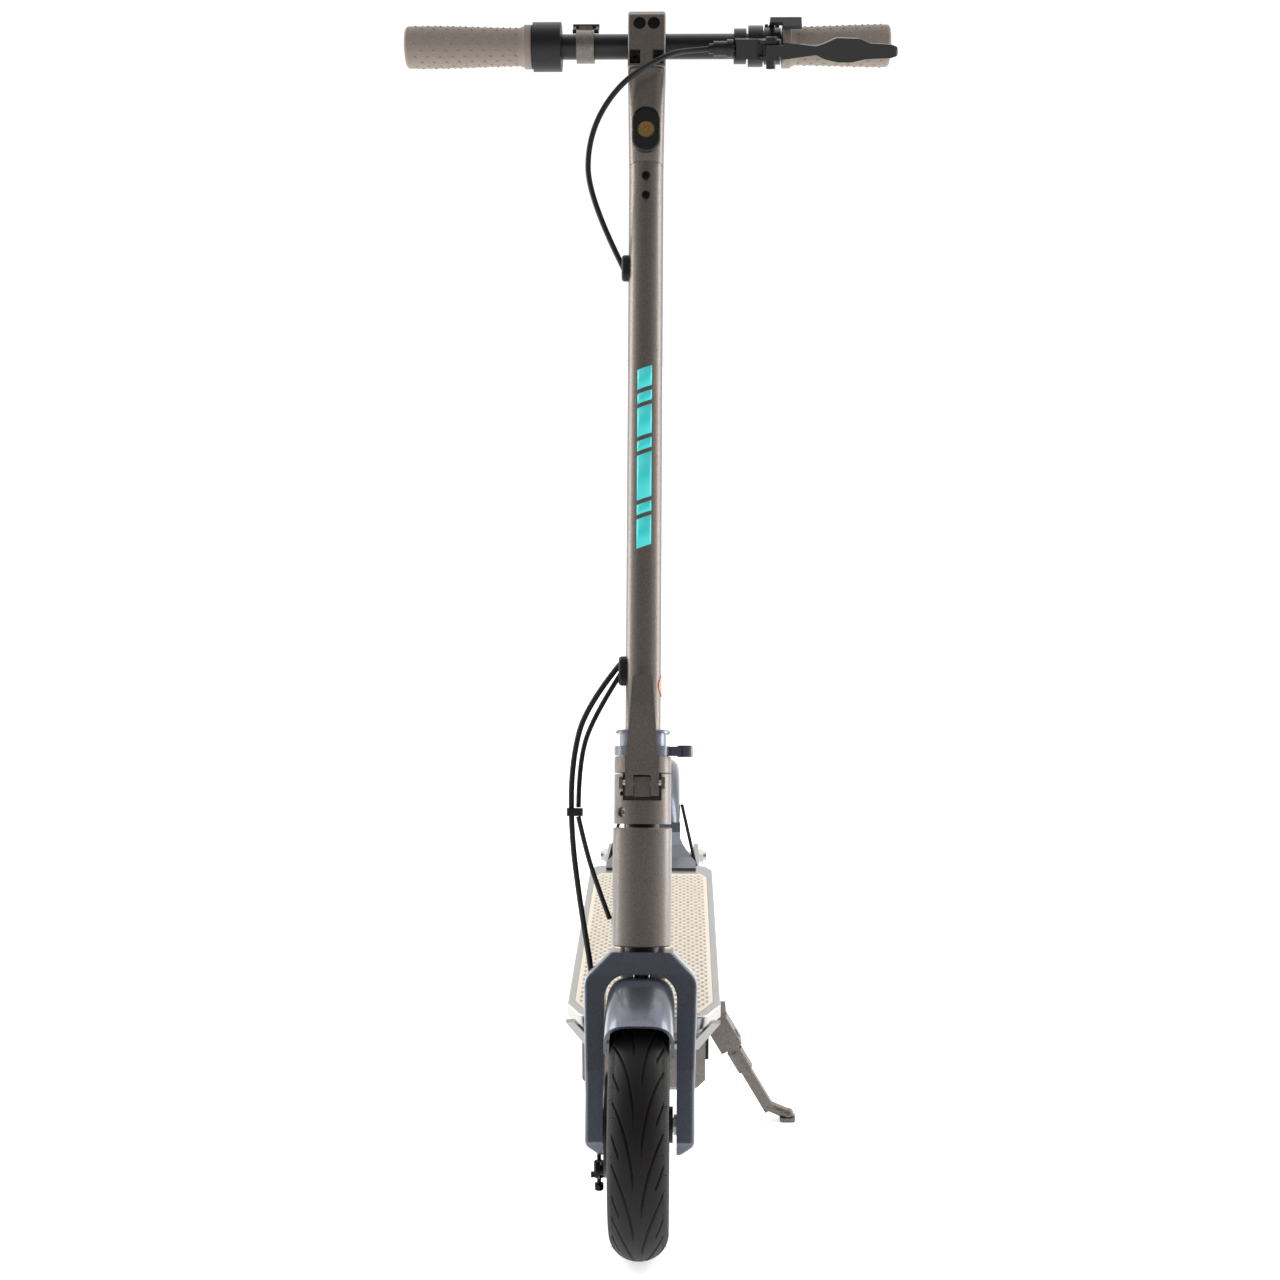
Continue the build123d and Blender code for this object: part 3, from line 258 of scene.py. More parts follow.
def hatched_rubber():
    """Vulcanised tyre rubber, deep warm black, with fine slanted hatching moulded on both shoulders."""
    material, tree, mm = new_material("moulded_tyre_rubber")
    split = add(tree, "ShaderNodeSeparateXYZ", {0: mm})
    side = add(tree, "ShaderNodeMath", {0: split.outputs["X"]}, operation="ABSOLUTE")
    turn = add(tree, "ShaderNodeMath", {
        0: split.outputs["Z"], 1: split.outputs["Y"],
    }, operation="ARCTAN2")
    around = add(tree, "ShaderNodeMath", {0: turn.outputs[0], 1: HATCH_COUNT}, operation="MULTIPLY")
    slant = add(tree, "ShaderNodeMath", {
        0: side.outputs[0], 1: HATCH_SLANT, 2: around.outputs[0],
    }, operation="MULTIPLY_ADD")
    ridge = add(tree, "ShaderNodeMath", {0: slant.outputs[0]}, operation="SINE")
    band = add(tree, "ShaderNodeMapRange", {
        "Value": side.outputs[0], "From Min": HATCH_FROM, "From Max": HATCH_FROM + HATCH_FADE,
    })
    hatch = add(tree, "ShaderNodeMath", {0: ridge.outputs[0], 1: band.outputs[0]}, operation="MULTIPLY")
    grain = add(tree, "ShaderNodeTexNoise", {"Vector": mm, "Scale": RUBBER_GRAIN, "Detail": 3.0})
    dust = add(tree, "ShaderNodeTexNoise", {"Vector": mm, "Scale": RUBBER_DUST, "Detail": 4.0})
    ribs = add(tree, "ShaderNodeBump", {
        "Height": hatch.outputs[0], "Strength": 0.7, "Distance": 0.0004,
    })
    bump = add(tree, "ShaderNodeBump", {
        "Height": grain.outputs["Fac"], "Strength": 0.2, "Distance": 0.0003, "Normal": ribs.outputs[0],
    })
    polish = add(tree, "ShaderNodeMapRange", {
        "Value": dust.outputs["Fac"], "To Min": 0.48, "To Max": 0.64,
    })
    colour = add(tree, "ShaderNodeMix", {
        "Factor": dust.outputs["Fac"], "A": linear("#0c0b0a"), "B": linear("#161312"),
    }, data_type="RGBA")
    shader = add(tree, "ShaderNodeBsdfPrincipled", {
        "Base Color": colour.outputs["Result"],
        "Roughness": polish.outputs[0],
        "Specular IOR Level": 0.2,
        "Normal": bump.outputs[0],
    })
    close_material(tree, shader)
    return material


def scaled_silicone_with_painted_shade():
    """Moulded cream silicone with painted shade: paler on the tops of the scales, painted darker low
    between them where shade falls.
    """
    material, tree, mm = new_material("moulded_cream_silicone")
    split = add(tree, "ShaderNodeSeparateXYZ", {0: mm})
    # painted shade: this mask darkens the colour with depth below the mat's top, for the shade between
    # the scales
    level = add(tree, "ShaderNodeMapRange", {
        "Value": split.outputs["Z"], "From Min": MAT_TOP - SCALE_RISE, "From Max": MAT_TOP,
    })
    grain = add(tree, "ShaderNodeTexNoise", {"Vector": mm, "Scale": SILICONE_GRAIN, "Detail": 3.0})
    bump = add(tree, "ShaderNodeBump", {
        "Height": grain.outputs["Fac"], "Strength": 0.15, "Distance": 0.0003,
    })
    polish = add(tree, "ShaderNodeMapRange", {
        "Value": grain.outputs["Fac"], "To Min": 0.6, "To Max": 0.72,
    })
    # painted shade mixed into the colour: dark low between the scales, pale on their tops
    colour = add(tree, "ShaderNodeMix", {
        "Factor": level.outputs[0], "A": linear("#93897b"), "B": linear("#d0c7b8"),
    }, data_type="RGBA")
    shader = add(tree, "ShaderNodeBsdfPrincipled", {
        "Base Color": colour.outputs["Result"],
        "Roughness": polish.outputs[0],
        "Specular IOR Level": 0.35,
        "Normal": bump.outputs[0],
    })
    close_material(tree, shader)
    return material


def clear_lens(name, deep, bright, pitch_mm):
    """Tinted acrylic over moulded prisms: small cells that catch the light under a gloss skin."""
    material, tree, mm = new_material(name)
    cells = add(tree, "ShaderNodeTexVoronoi", {
        "Vector": mm, "Scale": 1 / pitch_mm,
    }, distance="CHEBYCHEV")
    bump = add(tree, "ShaderNodeBump", {
        "Height": cells.outputs["Distance"], "Strength": 0.35, "Distance": 0.0005,
    })
    colour = add(tree, "ShaderNodeMix", {
        "Factor": cells.outputs["Distance"], "A": linear(bright), "B": linear(deep),
    }, data_type="RGBA")
    shader = add(tree, "ShaderNodeBsdfPrincipled", {
        "Base Color": colour.outputs["Result"],
        "Roughness": 0.18,
        "IOR": 1.49,
        "Coat Weight": 0.8,
        "Coat Roughness": 0.05,
        "Normal": bump.outputs[0],
    })
    close_material(tree, shader)
    return material


def screen_glass():
    """Smoked acrylic window: nearly black, with a sharp reflection and a trace of haze."""
    material, tree, mm = new_material("smoked_acrylic_window")
    haze = add(tree, "ShaderNodeTexNoise", {"Vector": mm, "Scale": HAZE, "Detail": 4.0})
    smear = add(tree, "ShaderNodeMapRange", {
        "Value": haze.outputs["Fac"], "To Min": 0.05, "To Max": 0.16,
    })
    colour = add(tree, "ShaderNodeMix", {
        "Factor": haze.outputs["Fac"], "A": linear("#0a0a0c"), "B": linear("#15161a"),
    }, data_type="RGBA")
    shader = add(tree, "ShaderNodeBsdfPrincipled", {
        "Base Color": colour.outputs["Result"],
        "Roughness": smear.outputs[0],
        "IOR": 1.49,
    })
    close_material(tree, shader)
    return material


titanium = metallic_paint("titanium_metallic_paint", "#5f5953", "#7a736c",
                          rough=0.4, flake_mm=0.5, coat=0.15)
blue_grey = metallic_paint("blue_grey_metallic_paint", "#50535e", "#62656f",
                           rough=0.28, flake_mm=0.5, coat=0.5)
tray_grey = metallic_paint("tray_satin_paint", "#7b7671", "#928d87", rough=0.5, flake_mm=0.8, coat=0.05)
stand_grey = metallic_paint("stand_satin_paint", "#625d58", "#7d7770",
                            rough=0.5, flake_mm=0.9, coat=0.05)
deck_silver = anodised_aluminium("anodised_deck_aluminium", "#a5a4a0", "#b9b8b4", rough=0.34)
polished_trim = drawn_metal("polished_trim_chrome", "#8d8d8c", "#a9a9a7", rough=0.16)
black_paint = moulded("satin_black_powder_coat", "#070707", "#111112",
                      rough=0.36, grain_mm=0.5, depth=0.12, specular=0.35)
black_nylon = moulded("moulded_black_nylon", "#060606", "#0f0f10",
                      rough=0.45, grain_mm=0.6, depth=0.2, specular=0.35)
black_rubber = moulded("extruded_black_rubber", "#060606", "#0e0e0e",
                       rough=0.5, grain_mm=0.8, depth=0.1, specular=0.35)
tyre_rubber = hatched_rubber()
grip_rubber = moulded("moulded_grip_rubber", "#776d64", "#8d8379",
                      rough=0.62, grain_mm=0.7, depth=0.18, specular=0.35)
mat_rubber = scaled_silicone_with_painted_shade()
zinc_steel = drawn_metal("zinc_plated_steel", "#a4a4a2", "#c6c6c4", rough=0.32)
black_steel = drawn_metal("black_oxide_steel", "#1c1c1d", "#2e2e30", rough=0.4)
cast_metal = anodised_aluminium("cast_aluminium_case", "#8f8f8e", "#a6a6a4", rough=0.5)
copper = drawn_metal("lacquered_copper_winding", "#7c4628", "#b5714a", rough=0.4)
shrink_wrap = moulded("pvc_shrink_wrap", "#1c3f78", "#28549a",
                      rough=0.35, grain_mm=3.0, depth=0.3)
amber = clear_lens("amber_acrylic_lens", "#3f2f0e", "#8a6a2c", pitch_mm=1.6)
red_lens = clear_lens("red_acrylic_lens", "#7c0f0c", "#c7291f", pitch_mm=2.0)
reflector = clear_lens("red_orange_prism_reflector", "#d2452f", "#ff8a6c", pitch_mm=1.4)
teal_vinyl = moulded("teal_printed_vinyl", "#2fcfcf", "#41dede",
                     rough=0.4, grain_mm=0.5, depth=0.05)
window = screen_glass()

FINISHES = {
    titanium: ["main_frame", "fold_base", "stem_foot", "stem_tube", "stem_head", "display_pod",
               "fold_lever"],
    blue_grey: ["fork", "front_mudguard", "rear_mudguard", "safety_ring", "stem_spool"],
    deck_silver: ["deck_frame", "rear_arms"],
    polished_trim: ["deck_front_trim"],
    tray_grey: ["battery_tray"],
    stand_grey: ["kickstand", "kickstand_bracket", "latch_band"],
    black_paint: ["handlebar", "latch_loop", "steerer_tube", "brake_perch", "brake_lever",
                  "bell_body", "motor_shell",
                  "front_hub_rim", "drum_brake"],
    black_nylon: ["headlight_bezel", "throttle_housing", "throttle_lever", "bell_striker", "cable_clip",
                  "power_button", "charge_socket"],
    black_rubber: ["cable_grommets", "charge_cover", "lower_brake_cable", "control_cable_upper",
                   "control_cable_lower", "upper_brake_cable"],
    tyre_rubber: ["front_tyre", "rear_tyre"],
    grip_rubber: ["left_grip", "right_grip"],
    mat_rubber: ["deck_mat"],
    zinc_steel: ["front_axle", "base_fasteners"],
    black_steel: ["headset_bearings", "mudguard_stays", "stem_screws", "brake_arm"],
    cast_metal: ["motor_controller"],
    copper: ["motor_axle"],
    shrink_wrap: ["battery_pack"],
    amber: ["headlight_lens"],
    red_lens: ["tail_light"],
    reflector: ["side_reflector"],
    window: ["display_screen"],
}


WINDING_HALF = 30 * MM    # outside this the motor axle is bare steel
EASE = 0.35 * MM
SHARP = radians(35)


def finish_nodes():
    """Gives each CAD node its finish and eases its edges, as a maker breaks them."""
    for material, names in FINISHES.items():
        for name in names:
            node = nodes[name]
            node.data.materials.clear()
            node.data.materials.append(material)
            if name == "motor_axle":
                node.data.materials.append(zinc_steel)
                for face in node.data.polygons:
                    face.material_index = int(abs(face.center.x) > WINDING_HALF)
            bevel = node.modifiers.new("eased_edges", "BEVEL")
            bevel.width = EASE
            bevel.segments = 2
            bevel.limit_method = "ANGLE"
            bevel.angle_limit = SHARP
            bevel.harden_normals = False


# ---- pieces built here ----

def new_piece(name, points, faces, material, body, slot, *stands_for, origin=(0, 0, 0)):
    """A smooth mesh piece that rides on a body and stands for its CAD nodes."""
    mesh = bpy.data.meshes.new(name)
    mesh.from_pydata([tuple(p) for p in points], [], faces)
    mesh.materials.append(material)
    mesh.shade_smooth()
    piece = bpy.data.objects.new(name, mesh)
    piece.location = origin
    bpy.context.scene.collection.objects.link(piece)
    tidy = bmesh.new()
    tidy.from_mesh(mesh)
    bmesh.ops.remove_doubles(tidy, verts=tidy.verts, dist=1e-6)
    bmesh.ops.recalc_face_normals(tidy, faces=tidy.faces)
    tidy.to_mesh(mesh)
    tidy.free()
    if body:
        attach(piece, body)
    if stands_for:
        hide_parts(*stands_for)
    return piece


def lattice(rows, columns, point, wrap_rows=False, wrap_columns=False):
    """Points and faces of a grid whose point comes from its row and column."""
    points = [point(r, c) for r in range(rows) for c in range(columns)]
    faces = []
    for r in range(rows if wrap_rows else rows - 1):
        for c in range(columns if wrap_columns else columns - 1):
            r2, c2 = (r + 1) % rows, (c + 1) % columns
            faces.append((r * columns + c, r * columns + c2, r2 * columns + c2, r2 * columns + c))
    return points, faces


def step(value, edge, soft):
    """Smooth rise from 0 to 1 as a value passes an edge."""
    t = min(1.0, max(0.0, (value - edge) / soft + 0.5))
    return t * t * (3 - 2 * t)


# Tyre
TYRE_R = 108.0
TYRE_HALF = 24.5
SECTION_R = 86.5          # radius of the carcass centre line
SECTION_H = TYRE_R - SECTION_R
BEAD_HALF = 19.0
BEAD_R = 66.0
TREAD_HALF = 26.0         # along the carcass from its centre
TREAD_BLOCKS = 13
TREAD_PITCH = 2 * pi * TYRE_R / TREAD_BLOCKS
GROOVE_DEPTH = 1.8
GROOVE_HALF = 0.75
LONG_START = 23.0         # across from the centre
LONG_END = 3.2
LONG_SWEEP = 32.3
SHORT_END = 15.5
SHORT_SWEEP = 2.0         # along the tread for each millimetre across
CENTRE_LINE = 0.22        # depth of the mould line, as a share of a groove's
WALL_LEAN = radians(118)  # where the side wall meets the rim
TURNS = 1040
TREAD_COLUMNS = 86
WALL_COLUMNS = 12
HAIR_COUNT = 46           # moulding hairs on each shoulder
HAIR_R = 0.35
HAIR_SUNK = 0.3


def groove_share(around, side_mm):
    """How deep the tread is cut, 0 to 1, at a distance round the tyre and across from its centre."""
    v = max(0.5, abs(side_mm))
    shift = 0.0 if side_mm < 0 else TREAD_PITCH / 2
    long_way = LONG_SWEEP * log(LONG_START / v)
    short_way = 0.54 * TREAD_PITCH + SHORT_SWEEP * (LONG_START - v)
    cut = 0.0
    grooves = ((long_way, LONG_SWEEP / v, LONG_END), (short_way, SHORT_SWEEP, SHORT_END))
    for way, slope, end in grooves:
        off = (around - shift - way + TREAD_PITCH / 2) % TREAD_PITCH - TREAD_PITCH / 2
        near = 1 - step(abs(off) / hypot(1, slope), GROOVE_HALF, 0.5)
        cut = max(cut, near * step(v, end, 1.2) * (1 - step(v, LONG_START + 0.8, 1.0)))
    return max(cut, CENTRE_LINE * (1 - step(abs(side_mm), 0.4, 0.4)))


def tyre(name, axle, body):
    """Round tyre with long raked grooves, short shoulder grooves, a mould line and moulding hairs."""
    tread_lean = TREAD_HALF / TYRE_HALF
    leans = [-WALL_LEAN + (WALL_LEAN - tread_lean) * i / WALL_COLUMNS for i in range(WALL_COLUMNS)]
    leans += [tread_lean * (2 * i / TREAD_COLUMNS - 1) for i in range(TREAD_COLUMNS + 1)]
    leans += [-lean for lean in reversed(leans[:WALL_COLUMNS])]
    across = len(leans) + 2

    def point(r, c):
        turn = 2 * pi * r / TURNS
        if c in (0, across - 1):
            x, radius = (-BEAD_HALF if c == 0 else BEAD_HALF), BEAD_R + 0.2
        else:
            lean = leans[c - 1]
            depth = GROOVE_DEPTH * groove_share(turn * TYRE_R, TYRE_HALF * lean)
            x = (TYRE_HALF - depth) * sin(lean)
            radius = SECTION_R + (SECTION_H - depth) * cos(lean)
        return Vector((x, -radius * sin(turn), radius * cos(turn))) * MM

    points, faces = lattice(TURNS, across, point, wrap_rows=True, wrap_columns=True)
    hairs = random.Random(7)
    for side in (-1, 1):
        for i in range(HAIR_COUNT):
            turn = 2 * pi * (i + hairs.uniform(-0.2, 0.2)) / HAIR_COUNT
            lean = side * hairs.uniform(0.9, 1.15)
            length = hairs.uniform(1.2, 2.6)
            first = len(points)
            out = Vector((side, -sin(turn) * cos(lean), cos(turn) * cos(lean))).normalized()
            radius = SECTION_R + (SECTION_H - HAIR_SUNK) * cos(lean)
            across_mm = (TYRE_HALF - HAIR_SUNK) * sin(lean)
            root = Vector((across_mm, -radius * sin(turn), radius * cos(turn)))
            wide = out.cross(Vector((0, cos(turn), sin(turn)))).normalized()
            high = out.cross(wide)
            for k in range(4):
                spoke = wide * cos(k * pi / 2) + high * sin(k * pi / 2)
                points.append((root + spoke * HAIR_R) * MM)
            points.append((root + out * length) * MM)
            faces += [(first + k, first + (k + 1) % 4, first + 4) for k in range(4)]
            faces.append((first + 3, first + 2, first + 1, first))
    new_piece(name + "_tread", points, faces, tyre_rubber, body, "tyre_rubber", name, origin=axle)


# Grips
GRIP_R = 18.3
GRIP_WAIST = 2.0          # how much slimmer the grip is behind its flare
DOT_PITCH = 11.4
DOT_ROW = 5.9
DOT_R = 1.35
DOT_H = 0.8
FLARE_W = 8.0
END_ROUND = 3.5
BAR_R = 11.1
GRIP_TURNS = 96
DOT_SIDES = 12
DOT_RINGS = ((1.0, -0.4), (0.95, 0.15), (0.72, 0.6), (0.35, 0.95))    # share of radius, share of height


def grip_radius(along, length):
    """Outline of a grip: flared collar, slim waist that swells outwards, rounded end."""
    if along <= FLARE_W:
        return GRIP_R + 1.0 - 1.2 * step(abs(along - FLARE_W / 2), FLARE_W / 2 - 0.4, 0.9)
    waist = GRIP_WAIST * (1 - step(along, FLARE_W + 42, 90)) * step(along, FLARE_W + 2, 7)
    past = max(0.0, END_ROUND - (length - along))
    return GRIP_R - waist - (END_ROUND - (END_ROUND**2 - past**2) ** 0.5)


def grip(name):
    """Rubber grip with staggered raised dots."""
    low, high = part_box(name)
    side = 1 if low.x > 0 else -1
    inner = min(abs(low.x), abs(high.x)) / MM
    length = (high.x - low.x) / MM
    stations = [0, 0.01] + [0.5 * i for i in range(1, 26)] + list(range(13, int(length) - 4))
    stations += [length - 4 + 0.25 * i for i in range(16)] + [length - 0.01, length]

    def place(along, radius, turn):
        spoke = COLUMN_Y * sin(turn) + COLUMN_Z * cos(turn)
        return BAR + (COLUMN_X * side * (inner + along) + spoke * radius) * MM

    def point(r, c):
        bore = r in (0, len(stations) - 1)
        radius = BAR_R + 0.1 if bore else grip_radius(stations[r], length)
        return place(stations[r], radius, 2 * pi * c / GRIP_TURNS)

    points, faces = lattice(len(stations), GRIP_TURNS, point, wrap_columns=True)
    points.append(place(length, 0, 0))
    last = (len(stations) - 1) * GRIP_TURNS
    faces += [(last + c, last + (c + 1) % GRIP_TURNS, len(points) - 1) for c in range(GRIP_TURNS)]
    rows = round(2 * pi * GRIP_R / DOT_ROW / 2) * 2
    for row in range(rows):
        along = FLARE_W + 7 + (DOT_PITCH / 2 if row % 2 else 0)
        while along < length - 8:
            base = grip_radius(along, length)
            first = len(points)
            for share, rise in DOT_RINGS:
                for k in range(DOT_SIDES):
                    spin = 2 * pi * k / DOT_SIDES
                    turn = 2 * pi * row / rows + DOT_R * share * sin(spin) / base
                    points.append(place(along + DOT_R * share * cos(spin), base + DOT_H * rise, turn))
            points.append(place(along, base + DOT_H, 2 * pi * row / rows))
            points.append(place(along, base - DOT_H * 0.4, 2 * pi * row / rows))
            top, bottom = len(points) - 2, len(points) - 1
            for k in range(DOT_SIDES):
                nxt = (k + 1) % DOT_SIDES
                for ring in range(len(DOT_RINGS) - 1):
                    a = first + ring * DOT_SIDES
                    faces.append((a + k, a + nxt, a + DOT_SIDES + nxt, a + DOT_SIDES + k))
                a = first + (len(DOT_RINGS) - 1) * DOT_SIDES
                faces.append((a + k, a + nxt, top))
                faces.append((first + nxt, first + k, bottom))
            along += DOT_PITCH
    new_piece(name + "_dotted", points, faces, grip_rubber, "stem", "grip_rubber", name)


# Foot mat
MAT_STEP = 1.25
SCALE_W = 8.4
SCALE_L = 11.0
NECK_NOTCH = 23.0         # half width of the notch round the neck
NOTCH_LONG = 33.0
FRONT_CUT = (14, 28)      # corner cuts, across and along
REAR_CUT = (7, 14)
BORDER = 5.0


def mat():
    """Foot mat with rows of staggered oval scales and a plain border."""
    low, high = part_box("deck_mat")
    low, high = low / MM, high / MM
    half = high.x
    columns = round(2 * half / MAT_STEP)
    rows = round((high.y - low.y) / MAT_STEP)
    notch_end = low.y + NOTCH_LONG

    def half_at(y):
        edge = half
        if y < low.y + FRONT_CUT[1]:
            edge = min(edge, half - FRONT_CUT[0] * (1 - (y - low.y) / FRONT_CUT[1]))
        if y > high.y - REAR_CUT[1]:
            edge = min(edge, half - REAR_CUT[0] * (1 - (high.y - y) / REAR_CUT[1]))
        return edge

    def rise(x, y, edge):
        row = round((y - low.y) / (SCALE_L / 2))
        shift = SCALE_W / 2 if row % 2 else 0
        off_x = (x + shift + SCALE_W / 2) % SCALE_W - SCALE_W / 2
        off_y = (y - low.y) - row * SCALE_L / 2
        oval = hypot(off_x / (SCALE_W * 0.44), off_y / (SCALE_L * 0.36))
        border = step(edge - abs(x), BORDER - 0.5, 1.5)
        border *= step(y - low.y, BORDER, 1.5) * step(high.y - y, BORDER, 1.5)
        return -SCALE_RISE * border * step(oval, 0.86, 0.35)

    def point(r, c):
        y = low.y + (high.y - low.y) * r / rows
        edge = half_at(y)
        x = max(-edge, min(edge, -half + 2 * half * c / columns))
        if abs(abs(x) - NECK_NOTCH) < MAT_STEP * 0.51:
            x = NECK_NOTCH if x > 0 else -NECK_NOTCH
        return Vector((x, y, high.z + rise(x, y, edge))) * MM

    points, faces = lattice(rows + 1, columns + 1, point)

    def in_notch(face):
        x = sum(points[i].x for i in face) / 4 / MM
        y = sum(points[i].y for i in face) / 4 / MM
        return abs(x) < NECK_NOTCH and y < notch_end

    faces = [face for face in faces if not in_notch(face)]
    piece = new_piece("foot_mat", points, faces, mat_rubber, None, "mat_rubber")
    solid = bmesh.new()
    solid.from_mesh(piece.data)
    bmesh.ops.dissolve_degenerate(solid, dist=1e-5, edges=solid.edges)
    loose = [v for v in solid.verts if not v.link_faces]
    bmesh.ops.delete(solid, geom=loose, context="VERTS")
    rim = [e for e in solid.edges if e.is_boundary]
    skirt = bmesh.ops.extrude_edge_only(solid, edges=rim)["geom"]
    for vertex in (g for g in skirt if isinstance(g, bmesh.types.BMVert)):
        vertex.co.z = low.z * MM
    bmesh.ops.recalc_face_normals(solid, faces=solid.faces)
    solid.to_mesh(piece.data)
    solid.free()
    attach(piece, "frame")
    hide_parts("deck_mat")


# Cables
UPPER_ROUTE = [(20, -34, 925), (-24, -32, 899), (-52, -20, 855), (-52, -6, 801), (-17, 3, 734)]
LOWER_ROUTE = [
    (-17, -1, 386), (-50, 0, 346), (-62, 1, 296), (-62, 3, 236),
    (-54, 6, 176), (-44, 15, 118), (-37, 12, 66),
]
CONTROL_UPPER = [(-17, 1, 378), (-44, 4, 336), (-56, 7, 296), (-56, 8, 257)]
CONTROL_LOWER = [(-56, 8, 249), (-50, 13, 222), (-40, 22, 190), (-29, 31, 160)]
LEVER_TILT = radians(30)
BRAKE_CABLE_R = 2.5
CONTROL_CABLE_R = 2.2


def cable(name, route, radius, body=None):
    """Rubber-jacketed cable on one smooth curve, as a mesh tube."""
    curve = bpy.data.curves.new(name, "CURVE")
    curve.dimensions = "3D"
    spline = curve.splines.new("NURBS")
    spline.points.add(len(route) - 1)
    for place, target in zip(route, spline.points):
        target.co = (*place, 1)
    spline.order_u = 3
    spline.use_endpoint_u = True
    spline.resolution_u = 16
    curve.bevel_depth = radius * MM
    curve.bevel_resolution = 5
    curve.use_fill_caps = True
    drawn = bpy.data.objects.new(name + "_curve", curve)
    bpy.context.scene.collection.objects.link(drawn)
    mesh = bpy.data.meshes.new_from_object(drawn)
    bpy.data.objects.remove(drawn)
    mesh.materials.clear()
    mesh.materials.append(black_rubber)
    mesh.shade_smooth()
    piece = bpy.data.objects.new(name + "_smooth", mesh)
    bpy.context.scene.collection.objects.link(piece)
    if body:
        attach(piece, body)
    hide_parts(name)
    return piece


def cables():
    """Brake and control cables, each bent between the bodies that it joins."""
    forward = COLUMN_TURN @ Euler((LEVER_TILT, 0, 0)).to_matrix()
    boot = BAR + forward @ Vector((56.5, -24, 0)) * MM
    lead = BAR + forward @ Vector((44, -25, -1)) * MM
    upper = [boot, lead] + [on_column(*p) for p in UPPER_ROUTE]
    cable("upper_brake_cable", upper, BRAKE_CABLE_R, "stem")
    stop = FRONT_AXLE + Vector((-36, 22, -17.9)) * MM
    above = FRONT_AXLE + Vector((-36, 22, 16)) * MM
    route = [on_column(*p) for p in LOWER_ROUTE] + [above, stop]
    lower = cable("lower_brake_cable", route, BRAKE_CABLE_R)
    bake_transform(lower)
    control = cable("control_cable_upper", [on_column(*p) for p in CONTROL_UPPER], CONTROL_CABLE_R)
    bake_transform(control)
    tail = cable("control_cable_lower", [on_column(*p) for p in CONTROL_LOWER], CONTROL_CABLE_R)
    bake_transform(tail)


# Printed mark on the stem
MARK_LOW = 484.0
MARK_HIGH = 644.0
STEM_R = 15.5
MARK_BARS = (26, 9, 40, 9, 26, 9, 18)
MARK_HALF = 6.5
MARK_SLANT = 0.35
MARK_STEPS = 8
VINYL = 0.06


def printed_mark():
    """A run of plain slanted bars up the front of the stem, as thin vinyl."""
    points, faces = [], []
    gap = (MARK_HIGH - MARK_LOW - sum(MARK_BARS)) / (len(MARK_BARS) - 1)
    radius = STEM_R + 0.07
    level = MARK_LOW
    for length in MARK_BARS:
        for i in range(MARK_STEPS + 1):
            across = MARK_HALF * (2 * i / MARK_STEPS - 1)
            turn = across / STEM_R
            for end in (0, length):
                height = level + end + across * MARK_SLANT
                points.append(on_column(radius * sin(turn), -radius * cos(turn), height))
        first = len(points) - 2 * (MARK_STEPS + 1)
        for i in range(MARK_STEPS):
            a = first + 2 * i
            faces.append((a, a + 1, a + 3, a + 2))
        level += length + gap
    piece = new_piece("stem_mark", points, faces, teal_vinyl, "stem", "titanium_paint")
    thick = piece.modifiers.new("vinyl", "SOLIDIFY")
    thick.thickness = VINYL * MM
    thick.offset = 1


# ---- studio ----

FLOOR_REACH = 60.0
FLOOR_GLOW = 0.5          # a lit table, so that the paper stays white round the tyres
LIGHTS = (                # place from the scooter's middle, power, width and height
    ("left_strip", (-1.4, 0.35, 0.25), 24, (0.6, 2.2)),
    ("right_strip", (1.4, 0.35, 0.25), 24, (0.6, 2.2)),
    ("overhead", (0.0, 0.6, 1.6), 12, (2.4, 1.8)),
    ("front_fill", (0.3, -2.6, 0.9), 0.6, (1.6, 1.2)),
)


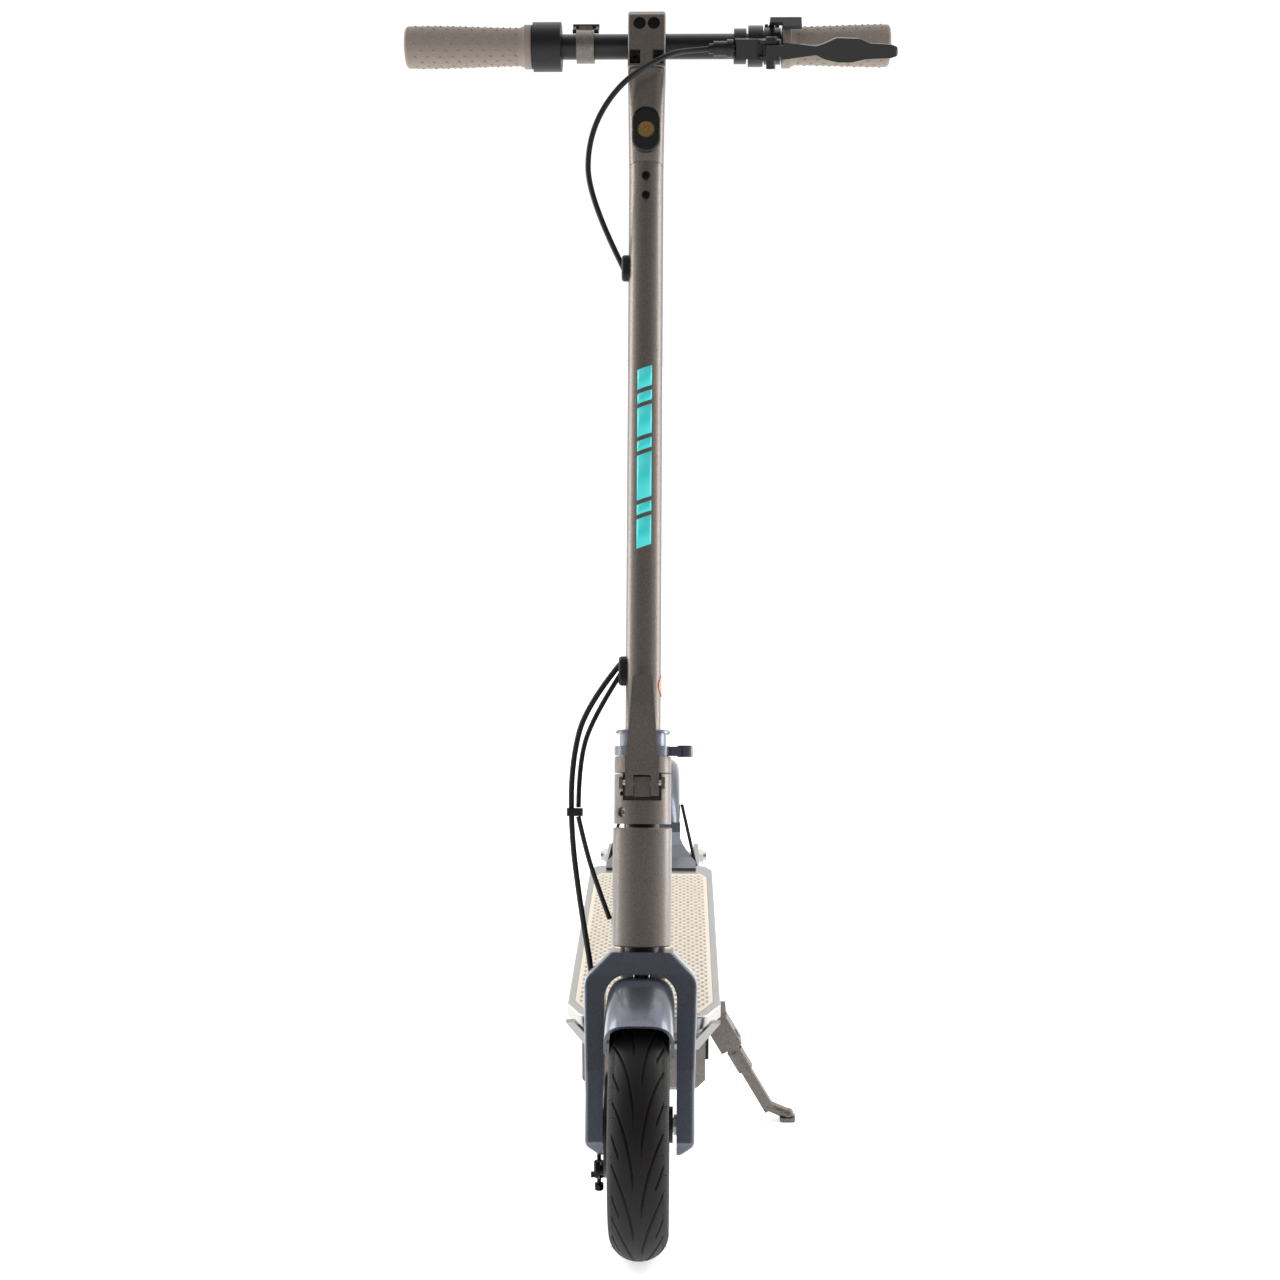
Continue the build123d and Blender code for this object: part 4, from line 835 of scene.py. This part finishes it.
def studio():
    """Lit white floor, a backdrop that is white behind and grey in front, and soft lights all round."""
    floor = bpy.data.meshes.new("floor")
    corners = [(x * FLOOR_REACH, y * FLOOR_REACH, 0) for x, y in ((-1, -1), (1, -1), (1, 1), (-1, 1))]
    floor.from_pydata(corners, [], [(0, 1, 2, 3)])
    paper, tree, mm = new_material("white_paper_sweep")
    fleck = add(tree, "ShaderNodeTexNoise", {"Vector": mm, "Scale": PAPER_FLECK, "Detail": 2.0})
    colour = add(tree, "ShaderNodeMix", {
        "Factor": fleck.outputs["Fac"], "A": linear("#fbfbfb"), "B": linear("#ffffff"),
    }, data_type="RGBA")
    shader = add(tree, "ShaderNodeBsdfPrincipled", {
        "Base Color": colour.outputs["Result"],
        "Roughness": 0.9,
        "Specular IOR Level": 0.0,
        "Emission Color": linear("#ffffff"),
        "Emission Strength": FLOOR_GLOW,
    })
    close_material(tree, shader)
    floor.materials.append(paper)
    sweep = bpy.data.objects.new("floor", floor)
    bpy.context.scene.collection.objects.link(sweep)

    world = bpy.data.worlds.new("studio_white")
    bpy.context.scene.world = world
    world.use_nodes = True
    tree = world.node_tree
    tree.nodes.clear()
    way = add(tree, "ShaderNodeTexCoord")
    split = add(tree, "ShaderNodeSeparateXYZ", {0: way.outputs["Generated"]})
    wall = add(tree, "ShaderNodeMapRange", {
        "Value": split.outputs["Y"], "From Min": -0.9, "From Max": 0.1, "To Min": 0.0, "To Max": 1.0,
    }, interpolation_type="SMOOTHSTEP")
    colour = add(tree, "ShaderNodeMix", {
        "Factor": wall.outputs[0], "A": linear("#7a7a7d"), "B": linear("#ffffff"),
    }, data_type="RGBA")
    backdrop = add(tree, "ShaderNodeBackground", {
        "Color": colour.outputs["Result"], "Strength": 1.05,
    })
    add(tree, "ShaderNodeOutputWorld", {"Surface": backdrop.outputs[0]})
    low, high = cad_box
    centre = (low + high) / 2
    for name, place, power, size in LIGHTS:
        lamp = bpy.data.lights.new(name, "AREA")
        lamp.shape = "RECTANGLE"
        lamp.size, lamp.size_y = size
        lamp.energy = power
        holder = bpy.data.objects.new(name, lamp)
        holder.location = centre + Vector(place)
        aim = centre - holder.location
        holder.rotation_euler = aim.to_track_quat("-Z", "Y").to_euler()
        bpy.context.scene.collection.objects.link(holder)
    bpy.context.scene.view_settings.view_transform = "Standard"


CAMERA_AHEAD = 1331.6     # of the front axle
CAMERA_HIGH = 750.4
CAMERA_SIDE = 30.0
CAMERA_PITCH = 9.84       # degrees down
LENS = 47.8


def camera():
    """Camera straight ahead at chest height, tipped down a little."""
    data = bpy.data.cameras.new("camera")
    data.lens = LENS
    data.sensor_width = 36.0
    data.clip_start = 0.05
    holder = bpy.data.objects.new("camera", data)
    holder.location = (CAMERA_SIDE * MM, FRONT_AXLE.y - CAMERA_AHEAD * MM, CAMERA_HIGH * MM)
    turn = atan2(CAMERA_SIDE, CAMERA_AHEAD)
    holder.rotation_euler = (radians(90 - CAMERA_PITCH), 0, turn)
    bpy.context.scene.collection.objects.link(holder)
    bpy.context.scene.camera = holder


finish_nodes()
tyre("front_tyre", FRONT_AXLE, "front_wheel")
tyre("rear_tyre", REAR_AXLE, "rear_wheel")
grip("left_grip")
grip("right_grip")
mat()
cables()
printed_mark()
studio()
camera()
